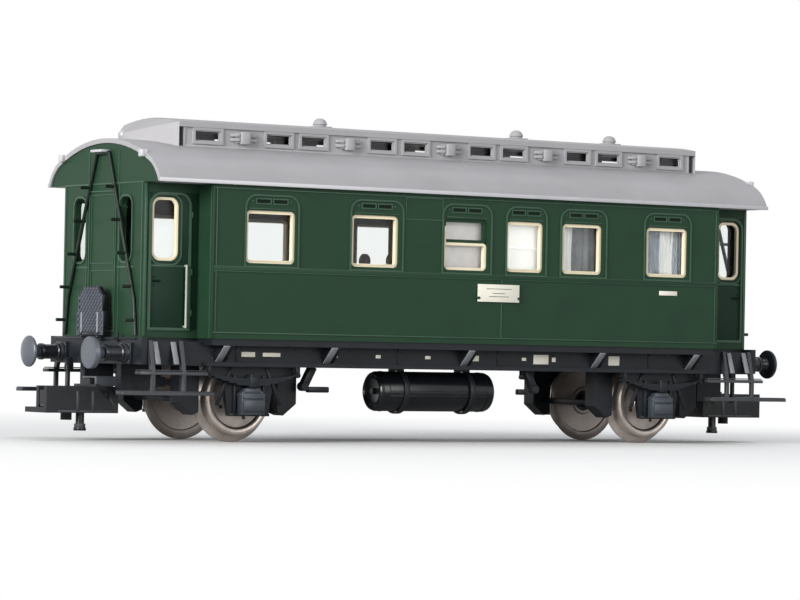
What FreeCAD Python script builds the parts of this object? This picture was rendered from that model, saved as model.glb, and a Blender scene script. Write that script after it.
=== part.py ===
import FreeCAD, Part
import math
import os
import re
import Sketcher
from FreeCAD import Placement, Rotation, Vector

# A two-axle railway passenger coach at 1:87, standing on its wheel flanges.
# +X runs along the coach towards its rear end, +Y to its right side, +Z up.
# The origin is on the ground at the middle of the coach. Lengths are millimetres.

SIZES = {
    # wheels, axles and their bearings
    "wheelbase": 77.4,
    "tread_radius": 5.5,
    "flange_depth": 1.1,
    "flange_width": 0.75,
    "wheel_width": 2.7,
    "back_to_back": 14.4,
    "rim_width": 1.0,
    "disc_recess": 0.5,
    "hub_radius": 2.1,
    "axle_radius": 1.0,
    "bush_wall": 0.7,
    "journal_radius": 0.6,
    "journal_entry": 0.4,
    "journal_end_gap": 0.3,
    "running_gap": 0.05,
    "cut_margin": 1.0,
    # axle guards, axle boxes and leaf springs
    "guard_gap": 2.2,
    "guard_thickness": 0.8,
    "guard_foot_width": 7.0,
    "guard_foot_drop": 2.5,
    "guard_head_width": 15.0,
    "guard_head_rise": 4.4,
    "guard_waist_reach": 0.8,
    "guard_waist_drop": 2.4,
    "box_width": 4.1,
    "box_depth": 1.9,
    "box_rise": 1.75,
    "box_drop": 2.4,
    "spring_span": 16.0,
    "spring_width": 1.4,
    "spring_end_rise": 3.8,
    "spring_sag": 0.7,
    "spring_end_thickness": 0.5,
    "spring_middle_thickness": 0.8,
    "buckle_width": 1.5,
    "buckle_overlap": 0.3,
    "shackle_width": 0.7,
    # brakes
    "brake_gap": 0.3,
    "brake_block_width": 2.8,
    "brake_hanger_length": 3.4,
    "brake_foot_drop": 2.5,
    "brake_toe_rise": 0.4,
    "brake_toe_reach": 1.1,
    "brake_heel_rise": 1.8,
    "brake_shoulder_drop": 4.1,
    "brake_head_inset": 0.9,
    "brake_beam_radius": 0.5,
    "pull_rod_radius": 0.45,
    "brake_beam_drop": 0.1,
    # underframe
    "beam_thickness": 1.0,
    "beam_side_margin": 0.3,
    "beam_height": 4.0,
    "wheel_headroom": 1.4,
    "floor_thickness": 1.0,
    "floor_inset": 0.3,
    "web_gap": 0.2,
    "web_thickness": 0.8,
    "sole_bar_height": 4.1,
    "sole_flange_reach": 1.0,
    "sole_flange_thickness": 0.6,
    "console_width": 1.8,
    "console_height": 3.4,
    "console_pitch": 25.3,
    "end_console_place": 44.3,
    # gas tank
    "tank_radius": 3.2,
    "tank_length": 20.5,
    "tank_place": -3.4,
    "tank_side_place": 9.0,
    "tank_drop": 7.6,
    "tank_crown": 0.5,
    "tank_end_radius": 2.75,
    "strap_width": 0.9,
    "strap_thickness": 0.3,
    "strap_spacing": 12.4,
    # body shell
    "body_length": 114.0,
    "saloon_length": 95.1,
    "saloon_width": 33.6,
    "vestibule_width": 24.8,
    "side_wall": 1.2,
    "end_wall": 1.0,
    "wall_height": 23.0,
    # saloon windows
    "window_sill_height": 11.4,
    "window_height": 7.9,
    "window_corner": 0.8,
    "window_frame_width": 0.45,
    "corner_share": 0.8,
    "window_frame_recess": 0.25,
    "window_frame_depth": 0.85,
    "window_a_place": -37.68,
    "window_a_width": 8.67,
    "window_b_place": -19.05,
    "window_b_width": 8.59,
    "window_c_place": -2.21,
    "window_c_width": 8.06,
    "window_d_place": 9.01,
    "window_d_width": 7.08,
    "window_e_place": 20.18,
    "window_e_width": 7.81,
    "window_f_place": 37.13,
    "window_f_width": 8.34,
    "window_m_place": 2.05,
    "window_m_width": 8.06,
    "glazing_thickness": 0.6,
    "glazing_margin": 0.9,
    "blind_thickness": 0.4,
    "blind_width": 2.6,
    "blind_drop": 0.5,
    # vestibule doors and end windows
    "door_setback": 3.7,
    "door_window_width": 4.6,
    "door_window_height": 9.5,
    "door_window_corner": 1.4,
    "door_frame_recess": 0.2,
    "door_pane_margin": 0.3,
    "end_pane_margin": 0.8,
    "end_window_place": 7.1,
    "end_window_width": 3.6,
    "handrail_setback": 7.1,
    "handrail_radius": 0.2,
    "handrail_standoff": 0.6,
    "stay_radius": 0.18,
    "stay_inset": 0.5,
    "handrail_foot_height": 1.5,
    "handrail_length": 9.4,
    # roof
    "roof_overhang": 0.25,
    "eave_overhang": 0.8,
    "roof_thickness": 0.7,
    "crown_radius": 34.0,
    "shoulder_run": 4.1,
    "shoulder_rise": 4.1,
    "shoulder_radius": 6.8,
    "shoulder_inset_share": 0.4,
    "shoulder_drop_share": 0.92,
    "ceiling_thickness": 0.6,
    # clerestory along the top of the roof
    "lantern_length": 95.96,
    "lantern_width": 16.3,
    "lantern_wall": 0.8,
    "lantern_rise": 1.9,
    "lantern_edge_thickness": 0.8,
    "lantern_crown_rise": 0.8,
    "lantern_roof_overhang": 0.4,
    "lantern_end_overhang": 1.1,
    "lantern_root_drop": 1.6,
    "nose_reach": 5.2,
    "nose_tip_width": 1.8,
    "nose_tip_rise": 0.9,
    "nose_tip_crown": 0.2,
    "bay_pitch": 6.28,
    "lantern_window_width": 5.1,
    "lantern_window_height": 2.26,
    "lantern_sill_drop": 0.46,
    "lantern_strip_margin": 0.4,
    "lantern_glazing_thickness": 0.4,
    "vent_width": 4.6,
    "vent_plate_thickness": 0.3,
    "vent_box_width": 1.7,
    "vent_box_depth": 1.1,
    "vent_margin": 0.1,
    "vent_box_rise": 0.2,
    "vent_box_drop": 0.4,
    "dome_radius": 1.15,
    "dome_height": 1.5,
    "dome_barrel_height": 1.05,
    "dome_cap_radius": 0.8,
    "dome_plate_length": 3.3,
    "dome_plate_thickness": 0.35,
    "dome_seat_depth": 0.08,
    "lamp_bracket_inset": 5.1,
    "lamp_bracket_width": 1.0,
    "lamp_bracket_reach": 0.75,
    "lamp_bracket_drop": 0.4,
    "lamp_bracket_height": 1.1,
    # interior
    "ballast_length": 70.0,
    "ballast_width": 22.0,
    "ballast_thickness": 1.5,
    "insert_gap": 0.2,
    "insert_floor": 0.8,
    "seat_height": 3.6,
    "seat_depth": 4.2,
    "seat_back_height": 9.7,
    "seat_back_thickness": 1.2,
    "seat_root": 0.2,
    "aisle_width": 5.0,
    "seat_side_gap": 1.2,
    "partition_thickness": 0.8,
    # buffers
    "buffer_spacing": 20.0,
    "buffer_drop": 2.4,
    "buffer_reach": 6.63,
    "buffer_head_radius": 2.55,
    "buffer_head_thickness": 1.0,
    "buffer_dome_rise": 0.5,
    "plunger_radius": 0.8,
    "coil_outer_radius": 0.72,
    "coil_inner_radius": 0.4,
    "plunger_length": 3.4,
    "sleeve_radius": 1.25,
    "sleeve_length": 4.2,
    "buffer_flange_width": 3.2,
    "buffer_flange_thickness": 0.5,
    # gangway plates and their hinges
    "gangway_gap": 0.3,
    "gangway_thickness": 0.6,
    "gangway_width": 8.2,
    "gangway_upper_width": 7.4,
    "gangway_foot_height": 1.2,
    "gangway_step_height": 3.8,
    "gangway_height": 7.5,
    "gangway_corner": 1.2,
    "hinge_height": 0.35,
    "hinge_pin_radius": 0.25,
    "hinge_knuckle_radius": 0.5,
    "hinge_offset": 0.15,
    "hinge_knuckle_width": 4.0,
    "hinge_ear_width": 0.8,
    "hinge_ear_gap": 0.1,
    # ladders on the ends
    "ladder_rod_radius": 0.3,
    "ladder_top_height": 27.7,
    "ladder_top_place": 1.9,
    "ladder_kink_height": 5.8,
    "ladder_kink_place": 10.3,
    "ladder_foot_height": 0.3,
    "ladder_foot_place": 11.0,
    "rung_reach": 2.0,
    "rung_radius": 0.25,
    "rung_first_height": 2.5,
    "rung_pitch": 5.0,
    # steps below the vestibule doors
    "outer_hanger_setback": 0.5,
    "inner_hanger_setback": 5.7,
    "step_hanger_thickness": 0.6,
    "step_hanger_reach": 1.5,
    "hanger_head_drop": 0.4,
    "hanger_head_reach": 0.4,
    "hanger_root_rise": 1.0,
    "upper_step_setback": 9.8,
    "upper_step_reach": 1.7,
    "upper_step_drop": 5.5,
    "upper_step_width": 1.8,
    "lower_step_setback": 10.1,
    "lower_step_end_reach": 5.5,
    "lower_step_drop": 8.5,
    "step_thickness": 0.5,
    "lower_step_reach": 2.9,
    # couplers
    "pivot_setback": 8.0,
    "pivot_radius": 0.9,
    "pivot_hole_length": 10.0,
    "pivot_head_radius": 1.7,
    "pivot_head_thickness": 0.8,
    "pivot_boss_radius": 2.2,
    "drawbar_width": 4.2,
    "drawbar_drop": 7.44,
    "drawbar_thickness": 1.48,
    "drawbar_tail": 2.1,
    "drawbar_reach": 1.9,
    "socket_depth": 4.6,
    "socket_width": 3.1,
    "socket_wall": 0.3,
    "fit_gap": 0.05,
    "cut_skin": 0.001,
    "neck_thickness": 0.7,
    "head_reach": 10.85,
    "head_setback": 1.3,
    "head_width": 6.8,
    "head_wall": 0.8,
    "head_drop": 4.01,
    "head_plate_thickness": 0.8,
    "pin_root": 0.4,
    "head_rear_thickness": 0.6,
    "hook_pivot_reach": 0.6,
    "hook_pivot_drop": 1.26,
    "hook_pivot_radius": 0.4,
    "hook_width": 4.6,
    "hook_bottom_drop": 1.86,
    "hook_top_drop": 0.66,
    "hook_lift_gap": 0.35,
    "hook_rear_reach": 1.0,
    "hook_nose_reach": 9.0,
    "hook_nose_length": 1.8,
    "hook_nose_drop": 2.81,
    "trip_pin_reach": 3.35,
    "trip_pin_radius": 0.65,
    "trip_pin_foot_radius": 0.95,
    "trip_pin_foot_height": 0.45,
    "trip_pin_drop": 6.71,
    "peg_reach": 5.7,
    "peg_radius": 0.85,
    "peg_drop": 5.11,
    "slot_front_reach": 4.75,
    "slot_rear_reach": 2.3,
    "slot_width": 2.4,
    "cheek_place": 5.7,
    "cheek_thickness": 1.4,
    "cheek_length": 5.0,
    "cheek_height": 8.7,
    "centring_leaf_length": 4.4,
    "centring_post_size": 1.0,
    "centring_leaf_thickness": 0.3,
    "centring_leaf_inset": 0.2,
}

# Places, widths and levels that follow from the sizes above.
DERIVED = {
    "beam_width": "(2 * (web_outer_face + beam_side_margin))",
    "web_outer_face": "(back_to_back / 2 + wheel_width + guard_gap + guard_thickness"
                      " + web_gap + web_thickness)",
    "roof_crest": "(eave_level + shoulder_rise + crown_radius"
                  " - sqrt(crown_radius ^ 2 - shoulder_width ^ 2 / 4))",
    "buffer_face": "(body_length / 2 + beam_thickness + buffer_reach)",
    "pivot_place": "(body_length / 2 - pivot_setback)",
    "drawbar_end": "(body_length / 2 + drawbar_reach)",
    "head_end": "(body_length / 2 + head_reach)",
    "head_rear": "(body_length / 2 - head_setback)",
    "hook_pivot_place": "(body_length / 2 + hook_pivot_reach)",
    "hook_nose_end": "(body_length / 2 + hook_nose_reach)",
    "trip_pin_place": "(body_length / 2 + trip_pin_reach)",
    "peg_place": "(body_length / 2 + peg_reach)",
    "slot_front": "(body_length / 2 + slot_front_reach)",
    "slot_rear": "(body_length / 2 + slot_rear_reach)",
    "centring_post_place": "(pivot_place - drawbar_tail - centring_leaf_length"
                           " - centring_post_size / 2)",
    "door_place": "(body_length / 2 - door_setback)",
    "handrail_place": "(body_length / 2 - handrail_setback)",
    "step_outer_hanger_place": "(body_length / 2 - outer_hanger_setback)",
    "step_inner_hanger_place": "(body_length / 2 - inner_hanger_setback)",
    "upper_step_start": "(body_length / 2 - upper_step_setback)",
    "upper_step_end": "(body_length / 2 + upper_step_reach)",
    "lower_step_start": "(body_length / 2 - lower_step_setback)",
    "lower_step_end": "(body_length / 2 + lower_step_end_reach)",
    "roof_width": "(saloon_width + 2 * eave_overhang)",
    "shoulder_width": "(roof_width - 2 * shoulder_run)",
    "lamp_bracket_place": "(roof_width / 2 - lamp_bracket_inset)",
    "floor_level": "(2 * (flange_depth + tread_radius) + wheel_headroom + floor_thickness)",
    "guard_foot_level": "(flange_depth + tread_radius - guard_foot_drop)",
    "guard_head_level": "(flange_depth + tread_radius + guard_head_rise)",
    "spring_end_level": "(flange_depth + tread_radius + spring_end_rise)",
    "brake_foot_level": "(flange_depth + tread_radius - brake_foot_drop)",
    "brake_beam_level": "(flange_depth + tread_radius - brake_beam_drop)",
    "beam_bottom": "(floor_level - beam_height)",
    "sole_bar_bottom": "(floor_level - sole_bar_height)",
    "console_bottom": "(floor_level - console_height)",
    "tank_level": "(floor_level - tank_drop)",
    "eave_level": "(floor_level + wall_height)",
    "window_sill_level": "(floor_level + window_sill_height)",
    "handrail_bottom": "(floor_level + handrail_foot_height)",
    "handrail_top": "(handrail_bottom + handrail_length)",
    "lantern_wall_top": "(roof_crest + lantern_rise)",
    "lantern_root_level": "(roof_crest - lantern_root_drop)",
    "nose_tip_level": "(roof_crest + nose_tip_rise)",
    "lantern_window_sill": "(roof_crest - lantern_sill_drop)",
    "buffer_level": "(floor_level - buffer_drop)",
    "gangway_lower_level": "(floor_level + gangway_foot_height)",
    "gangway_step_level": "(floor_level + gangway_step_height)",
    "gangway_top_level": "(floor_level + gangway_height)",
    "hinge_level": "(floor_level + hinge_height)",
    "ladder_top_level": "(floor_level + ladder_top_height)",
    "ladder_kink_level": "(floor_level + ladder_kink_height)",
    "ladder_foot_level": "(floor_level + ladder_foot_height)",
    "rung_first_level": "(floor_level + rung_first_height)",
    "upper_step_level": "(floor_level - upper_step_drop)",
    "lower_step_level": "(floor_level - lower_step_drop)",
    "drawbar_bottom": "(floor_level - drawbar_drop)",
    "drawbar_top": "(drawbar_bottom + drawbar_thickness)",
    "head_bottom": "(drawbar_bottom - head_drop)",
    "hook_pivot_level": "(drawbar_bottom - hook_pivot_drop)",
    "hook_bottom": "(drawbar_bottom - hook_bottom_drop)",
    "hook_top": "(drawbar_bottom - hook_top_drop)",
    "hook_nose_bottom": "(drawbar_bottom - hook_nose_drop)",
    "trip_pin_bottom": "(drawbar_bottom - trip_pin_drop)",
    "peg_bottom": "(drawbar_bottom - peg_drop)",
    "cheek_bottom": "(floor_level - cheek_height)",
}

# Faces and levels that several pieces share, as formulas over the sheet.
AXLE_LEVEL = "(flange_depth + tread_radius)"
WHEEL_FACE = "(back_to_back / 2 + wheel_width)"
GUARD_INNER = f"({WHEEL_FACE} + guard_gap)"
GUARD_OUTER = f"({GUARD_INNER} + guard_thickness)"
WEB_INNER = f"({GUARD_OUTER} + web_gap)"
WEB_OUTER = f"({WEB_INNER} + web_thickness)"
BODY_END = "(body_length / 2)"
BEAM_FACE = f"({BODY_END} + beam_thickness)"
FLOOR_BOTTOM = "(floor_level - floor_thickness)"
SALOON_INNER = "(saloon_width / 2 - side_wall)"
TRAY_TOP = "(floor_level + ballast_thickness + running_gap + insert_floor)"
CROWN_LEVEL = "lantern_wall_top + lantern_edge_thickness"
GANGWAY_BACK = f"({BEAM_FACE} + gangway_gap)"
HINGE_PLACE = f"({GANGWAY_BACK} + gangway_thickness / 2 + hinge_offset)"
SPRING_PLACE = f"({WEB_INNER} + spring_width / 2)"
DRAWBAR_REAR = "(pivot_place - drawbar_tail)"

WINDOWS = {"left": ("a", "b", "c", "d", "e", "f"), "right": ("a", "b", "m", "e", "f")}
WINDOW_BAYS = (-7, -5, -4, -2, -1, 1, 2, 4, 5, 7)
VENT_BAYS = (-6, -3, 0, 3, 6)
DOME_BAYS = (-3, 3, 6)
ENDS = {"front": -1, "rear": 1}
SIDES = {"left": -1, "right": 1}

doc = FreeCAD.newDocument("passenger_coach")
sheet = doc.addObject("Spreadsheet::Sheet", "sizes")
nodes = []


def fill_sheet():
    """Write each driving dimension into the sheet under its own name."""
    for row, (name, value) in enumerate(SIZES.items(), start=1):
        sheet.set(f"A{row}", str(value))
        sheet.setAlias(f"A{row}", name)
    doc.recompute()


def formula(text):
    """Point every size name in a formula at the sheet, and write derived names out in full."""
    return re.sub(r"[a-z_]+", lambda word: in_sheet(word.group(0)), str(text))


def in_sheet(word):
    if word in DERIVED:
        return formula(DERIVED[word])
    return "sizes." + word if word in SIZES else word


def number(text):
    """The present value of a formula, for a first drawing of a sketch."""
    return float(sheet.evalExpression(formula(text)))


def block(name, x, length, y, width, bottom, top):
    """A block centred on x and y, from one level to another."""
    item = doc.addObject("Part::Box", name)
    item.setExpression("Length", formula(length))
    item.setExpression("Width", formula(width))
    item.setExpression("Height", formula(f"({top}) - ({bottom})"))
    item.setExpression("Placement.Base.x", formula(f"({x}) - ({length}) / 2"))
    item.setExpression("Placement.Base.y", formula(f"({y}) - ({width}) / 2"))
    item.setExpression("Placement.Base.z", formula(bottom))
    return item


def rod(name, axis, radius, length, x, y, z):
    """A round bar along one axis, centred on x, y and z."""
    turn = {
        "x": Rotation(Vector(0, 1, 0), 90),
        "y": Rotation(Vector(1, 0, 0), -90),
        "z": Rotation(),
    }
    item = doc.addObject("Part::Cylinder", name)
    item.Placement = Placement(Vector(), turn[axis])
    item.setExpression("Radius", formula(radius))
    item.setExpression("Height", formula(length))
    for letter, place in (("x", x), ("y", y), ("z", z)):
        if letter == axis:
            place = f"({place}) - ({length}) / 2"
        item.setExpression("Placement.Base." + letter, formula(place))
    return item


def draw_outline(sketch, corners):
    """Draw a closed anticlockwise outline and tie each corner to its formulas.

    A corner is (across, up) where a straight edge follows, or
    (across, up, radius, side) where an arc follows, bulging "out" or "in".
    """
    points = [Vector(number(corner[0]), number(corner[1]), 0) for corner in corners]
    starts = []
    ends = []
    for place, corner in enumerate(corners):
        first = points[place]
        second = points[(place + 1) % len(points)]
        if len(corner) == 2:
            edge = sketch.addGeometry(Part.LineSegment(first, second), False)
            starts.append((edge, 1))
            ends.append((edge, 2))
            continue
        radius = number(corner[2])
        chord = second - first
        sagitta = radius - math.sqrt(radius ** 2 - (chord.Length / 2) ** 2)
        outwards = Vector(chord.y, -chord.x, 0).normalize()
        if corner[3] == "in":
            outwards = outwards * -1
        middle = (first + second) * 0.5 + outwards * sagitta
        edge = sketch.addGeometry(Part.Arc(first, middle, second), False)
        limit = sketch.addConstraint(Sketcher.Constraint("Radius", edge, radius))
        sketch.setExpression(f"Constraints[{limit}]", formula(corner[2]))
        starts.append((edge, 1 if corner[3] == "out" else 2))
        ends.append((edge, 2 if corner[3] == "out" else 1))
    for place, corner in enumerate(corners):
        edge, vertex = starts[place]
        sketch.addConstraint(Sketcher.Constraint("Coincident", *ends[place - 1], edge, vertex))
        for kind, text in (("DistanceX", corner[0]), ("DistanceY", corner[1])):
            rule = Sketcher.Constraint(kind, -1, 1, edge, vertex, number(text))
            limit = sketch.addConstraint(rule)
            sketch.setExpression(f"Constraints[{limit}]", formula(text))


def plate(name, plane, corners, thickness, place):
    """A pad of an outline on the XZ or YZ plane, centred on a place along its normal."""
    body = doc.addObject("PartDesign::Body", name)
    support = [item for item in body.Origin.OriginFeatures if item.Role == plane + "_Plane"]
    sketch = body.newObject("Sketcher::SketchObject", name + "_outline")
    sketch.AttachmentSupport = [(support[0], "")]
    sketch.MapMode = "FlatFace"
    draw_outline(sketch, corners)
    pad = body.newObject("PartDesign::Pad", name + "_pad")
    pad.Profile = sketch
    pad.SideType = "Symmetric"
    pad.setExpression("Length", formula(thickness))
    letter = {"XZ": "y", "YZ": "x"}[plane]
    body.setExpression("Placement.Base." + letter, formula(place))
    return body


def fuse(name, *items):
    item = doc.addObject("Part::MultiFuse", name)
    item.Shapes = list(items)
    return item


def cut(name, base, *tools):
    item = doc.addObject("Part::Cut", name)
    item.Base = base
    item.Tool = tools[0] if len(tools) == 1 else fuse(name + "_tools", *tools)
    return item


def common(name, first, second):
    item = doc.addObject("Part::Common", name)
    item.Base = first
    item.Tool = second
    return item


def group(name, *items):
    """Several separate solids that make one node."""
    item = doc.addObject("Part::Compound", name)
    item.Links = list(items)
    return item


def mirrored(name, item, normal):
    other = doc.addObject("Part::Mirroring", name)
    other.Source = item
    other.Normal = Vector(*normal)
    return other


def to_right(name, item):
    return mirrored(name, item, (0, 1, 0))


def to_rear(name, item):
    return mirrored(name, item, (1, 0, 0))


def node(name, item):
    """Keep an object as a sub-part of the coach, under its own name."""
    item.Label = name
    nodes.append(item)


def rounded(low, high, sill, height, corner):
    """An upright rectangle with rounded corners, as an outline."""
    top = f"({sill} + {height})"
    return [
        (f"{low} + {corner}", sill),
        (f"{high} - {corner}", sill, corner, "out"),
        (high, f"{sill} + {corner}"),
        (high, f"{top} - {corner}", corner, "out"),
        (f"{high} - {corner}", top),
        (f"{low} + {corner}", top, corner, "out"),
        (low, f"{top} - {corner}"),
        (low, f"{sill} + {corner}", corner, "out"),
    ]


def arch(inset):
    """The roof's cross-section, drawn in by an inset on its curved sides."""
    edge = f"(roof_width / 2 - {inset})"
    shoulder = f"(shoulder_width / 2 - shoulder_inset_share * {inset})"
    level = f"(eave_level + shoulder_rise - shoulder_drop_share * {inset})"
    return [
        (f"-{edge}", "eave_level"),
        (edge, "eave_level", f"shoulder_radius - {inset}", "out"),
        (shoulder, level, f"crown_radius - {inset}", "out"),
        (f"-{shoulder}", level, f"shoulder_radius - {inset}", "out"),
    ]


# Running gear -------------------------------------------------------------

def make_wheelset(end):
    """An axle, an insulating bush and two flanged disc wheels at one end."""
    x = f"{ENDS[end]} * wheelbase / 2"
    long_part = rod(f"journals_{end}", "y", "journal_radius",
                    f"2 * ({GUARD_OUTER} + journal_entry)", x, "0", AXLE_LEVEL)
    thick_part = rod(f"axle_body_{end}", "y", "axle_radius", f"2 * {WHEEL_FACE}", x, "0", AXLE_LEVEL)
    node(f"axle_{end}", fuse(f"axle_{end}_solid", long_part, thick_part))
    bush_y = "back_to_back / 2 + wheel_width / 2"
    bush = rod(f"bush_outer_{end}", "y", "axle_radius + bush_wall", "wheel_width",
               x, bush_y, AXLE_LEVEL)
    bush_bore = rod(f"bush_bore_{end}", "y", "axle_radius", "wheel_width + cut_margin",
                    x, bush_y, AXLE_LEVEL)
    node(f"axle_bush_{end}", cut(f"axle_bush_{end}_solid", bush, bush_bore))
    for side in SIDES:
        make_wheel(end, side, x)


def make_wheel(end, side, x):
    """One disc wheel: tyre and flange, with a recessed disc and a bore."""
    name = f"wheel_{end}_{side}"
    sign = SIDES[side]
    tyre = rod(name + "_tyre", "y", "tread_radius", "wheel_width",
               x, f"{sign} * (back_to_back / 2 + wheel_width / 2)", AXLE_LEVEL)
    flange = rod(name + "_flange", "y", "tread_radius + flange_depth", "flange_width",
                 x, f"{sign} * (back_to_back / 2 + flange_width / 2)", AXLE_LEVEL)
    recess_y = f"{sign} * ({WHEEL_FACE} - disc_recess / 2)"
    recess = rod(name + "_recess", "y", "tread_radius - rim_width", "disc_recess",
                 x, recess_y, AXLE_LEVEL)
    hub = rod(name + "_hub", "y", "hub_radius", "disc_recess", x, recess_y, AXLE_LEVEL)
    ring = cut(name + "_ring", recess, hub)
    wall = "axle_radius" if side == "left" else "axle_radius + bush_wall"
    bore = rod(name + "_bore", "y", wall, "wheel_width + cut_margin",
               x, f"{sign} * (back_to_back / 2 + wheel_width / 2)", AXLE_LEVEL)
    node(name, cut(name + "_solid", fuse(name + "_blank", tyre, flange), ring, bore))


def make_axle_guards(end):
    """The plates that hang from the frame beside the wheels and carry the axle."""
    x = f"({ENDS[end]} * wheelbase / 2)"
    corners = [
        (f"{x} - guard_foot_width / 2", "guard_foot_level"),
        (f"{x} + guard_foot_width / 2", "guard_foot_level"),
        (f"{x} + guard_foot_width / 2 + guard_waist_reach", "guard_head_level - guard_waist_drop"),
        (f"{x} + guard_head_width / 2", "guard_head_level"),
        (f"{x} + guard_head_width / 2", FLOOR_BOTTOM),
        (f"{x} - guard_head_width / 2", FLOOR_BOTTOM),
        (f"{x} - guard_head_width / 2", "guard_head_level"),
        (f"{x} - guard_foot_width / 2 - guard_waist_reach", "guard_head_level - guard_waist_drop"),
    ]
    place = f"-({GUARD_INNER} + guard_thickness / 2)"
    blank = plate(f"guard_{end}_blank", "XZ", corners, "guard_thickness", place)
    bore = rod(f"guard_{end}_bore", "y", "journal_radius + running_gap", "guard_thickness + cut_margin",
               x, place, AXLE_LEVEL)
    left = cut(f"guard_{end}_left", blank, bore)
    node(f"axle_guards_{end}", group(f"guards_{end}", left, to_right(f"guard_{end}_right", left)))


def make_axle_boxes():
    """Four grease boxes, each with a blind bore for the end of an axle."""
    boxes = []
    for end, sign in ENDS.items():
        x = f"{sign} * wheelbase / 2"
        y = f"-({GUARD_OUTER} + box_depth / 2)"
        blank = block(f"box_{end}_blank", x, "box_width", y, "box_depth",
                      f"{AXLE_LEVEL} - box_drop", f"{AXLE_LEVEL} + box_rise")
        depth = "(journal_entry + journal_end_gap)"
        bore = rod(f"box_{end}_bore", "y", "journal_radius + running_gap", depth,
                   x, f"-({GUARD_OUTER} + {depth} / 2)", AXLE_LEVEL)
        left = cut(f"box_{end}_left", blank, bore)
        boxes += [left, to_right(f"box_{end}_right", left)]
    node("axle_boxes", group("boxes", *boxes))


def make_leaf_springs():
    """Four laminated springs: a sagging leaf pack, a buckle and two shackles."""
    springs = []
    for end, sign in ENDS.items():
        x = f"({sign} * wheelbase / 2)"
        half = "(spring_span / 2)"
        low_sag = "(spring_sag + spring_middle_thickness - spring_end_thickness)"
        upper_radius = f"({half} ^ 2 + spring_sag ^ 2) / (2 * spring_sag)"
        lower_radius = f"({half} ^ 2 + {low_sag} ^ 2) / (2 * {low_sag})"
        corners = [
            (f"{x} - {half}", "spring_end_level - spring_end_thickness", lower_radius, "out"),
            (f"{x} + {half}", "spring_end_level - spring_end_thickness"),
            (f"{x} + {half}", "spring_end_level", upper_radius, "in"),
            (f"{x} - {half}", "spring_end_level"),
        ]
        y = f"-{SPRING_PLACE}"
        leaf = plate(f"leaf_{end}", "XZ", corners, "spring_width", y)
        buckle = block(f"buckle_{end}", x, "buckle_width", y, "spring_width",
                       f"{AXLE_LEVEL} + box_rise", "spring_end_level - spring_sag + buckle_overlap")
        shackles = []
        for way in (-1, 1):
            place = f"{x} + {way} * (spring_span / 2 - shackle_width)"
            shackles.append(block(f"shackle_{end}", place, "shackle_width", y, "spring_width",
                                  "spring_end_level - spring_end_thickness", "sole_bar_bottom"))
        left = fuse(f"spring_{end}_left", leaf, buckle, *shackles)
        springs += [left, to_right(f"spring_{end}_right", left)]
    node("leaf_springs", group("springs", *springs))


def make_brakes():
    """Brake hangers with their blocks, one on each side of every wheel, and the beams."""
    hangers = []
    beams = []
    for end, sign in ENDS.items():
        for way in (-1, 1):
            x = f"({sign} * wheelbase / 2)"
            near = "(tread_radius + flange_depth + brake_gap)"
            far = f"({near} + brake_hanger_length)"
            profile = [
                (near, "brake_foot_level + brake_toe_rise"),
                (f"{near} + brake_toe_reach", "brake_foot_level"),
                (far, "brake_foot_level + brake_heel_rise"),
                (far, "floor_level - brake_shoulder_drop"),
                (f"{far} - brake_head_inset", FLOOR_BOTTOM),
                (near, FLOOR_BOTTOM),
            ]
            corners = [(f"{x} + {way} * ({across})", up) for across, up in profile]
            if way < 0:
                corners.reverse()
            name = f"hanger_{end}_{'inner' if way == -sign else 'outer'}"
            y = "-(back_to_back / 2 + wheel_width / 2)"
            left = plate(name, "XZ", corners, "brake_block_width", y)
            hangers += [left, to_right(name + "_right", left)]
            beam_x = f"{x} + {way} * ({near} + brake_hanger_length / 2)"
            span = "back_to_back + wheel_width - brake_block_width"
            beams.append(rod(name + "_beam", "y", "brake_beam_radius", span,
                             beam_x, "0", "brake_beam_level"))
    node("brake_blocks", group("hangers", *hangers))
    near = "(tread_radius + flange_depth + brake_gap + brake_hanger_length / 2)"
    pull_rod = rod("pull_rod", "x", "pull_rod_radius", f"wheelbase - 2 * {near}",
                   "0", "0", "brake_beam_level")
    outer_front, inner_front, inner_rear, outer_rear = beams
    middle = fuse("rigging_middle", inner_front, pull_rod, inner_rear)
    node("brake_rigging", group("rigging", outer_front, middle, outer_rear))


# Underframe ---------------------------------------------------------------

def make_underframe():
    """The frame: floor, sole bars, buffer beams, consoles and coupler mounts in one moulding."""
    saloon_floor = block("saloon_floor", "0", "saloon_length - 2 * floor_inset",
                         "0", "saloon_width - 2 * floor_inset", FLOOR_BOTTOM, "floor_level")
    long_floor = block("long_floor", "0", "body_length", "0", "vestibule_width - 2 * floor_inset",
                       FLOOR_BOTTOM, "floor_level")
    pieces = [saloon_floor, long_floor]
    for sign in (-1, 1):
        pieces += frame_side(sign)
        pieces += frame_end(sign)
    holes = []
    for sign in (-1, 1):
        holes.append(rod("pivot_hole", "z", "pivot_radius", "pivot_hole_length",
                         f"{sign} * pivot_place", "0", f"{FLOOR_BOTTOM} - pivot_hole_length / 2"))
    node("underframe", cut("underframe_solid", fuse("frame_blank", *pieces), *holes))


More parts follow.
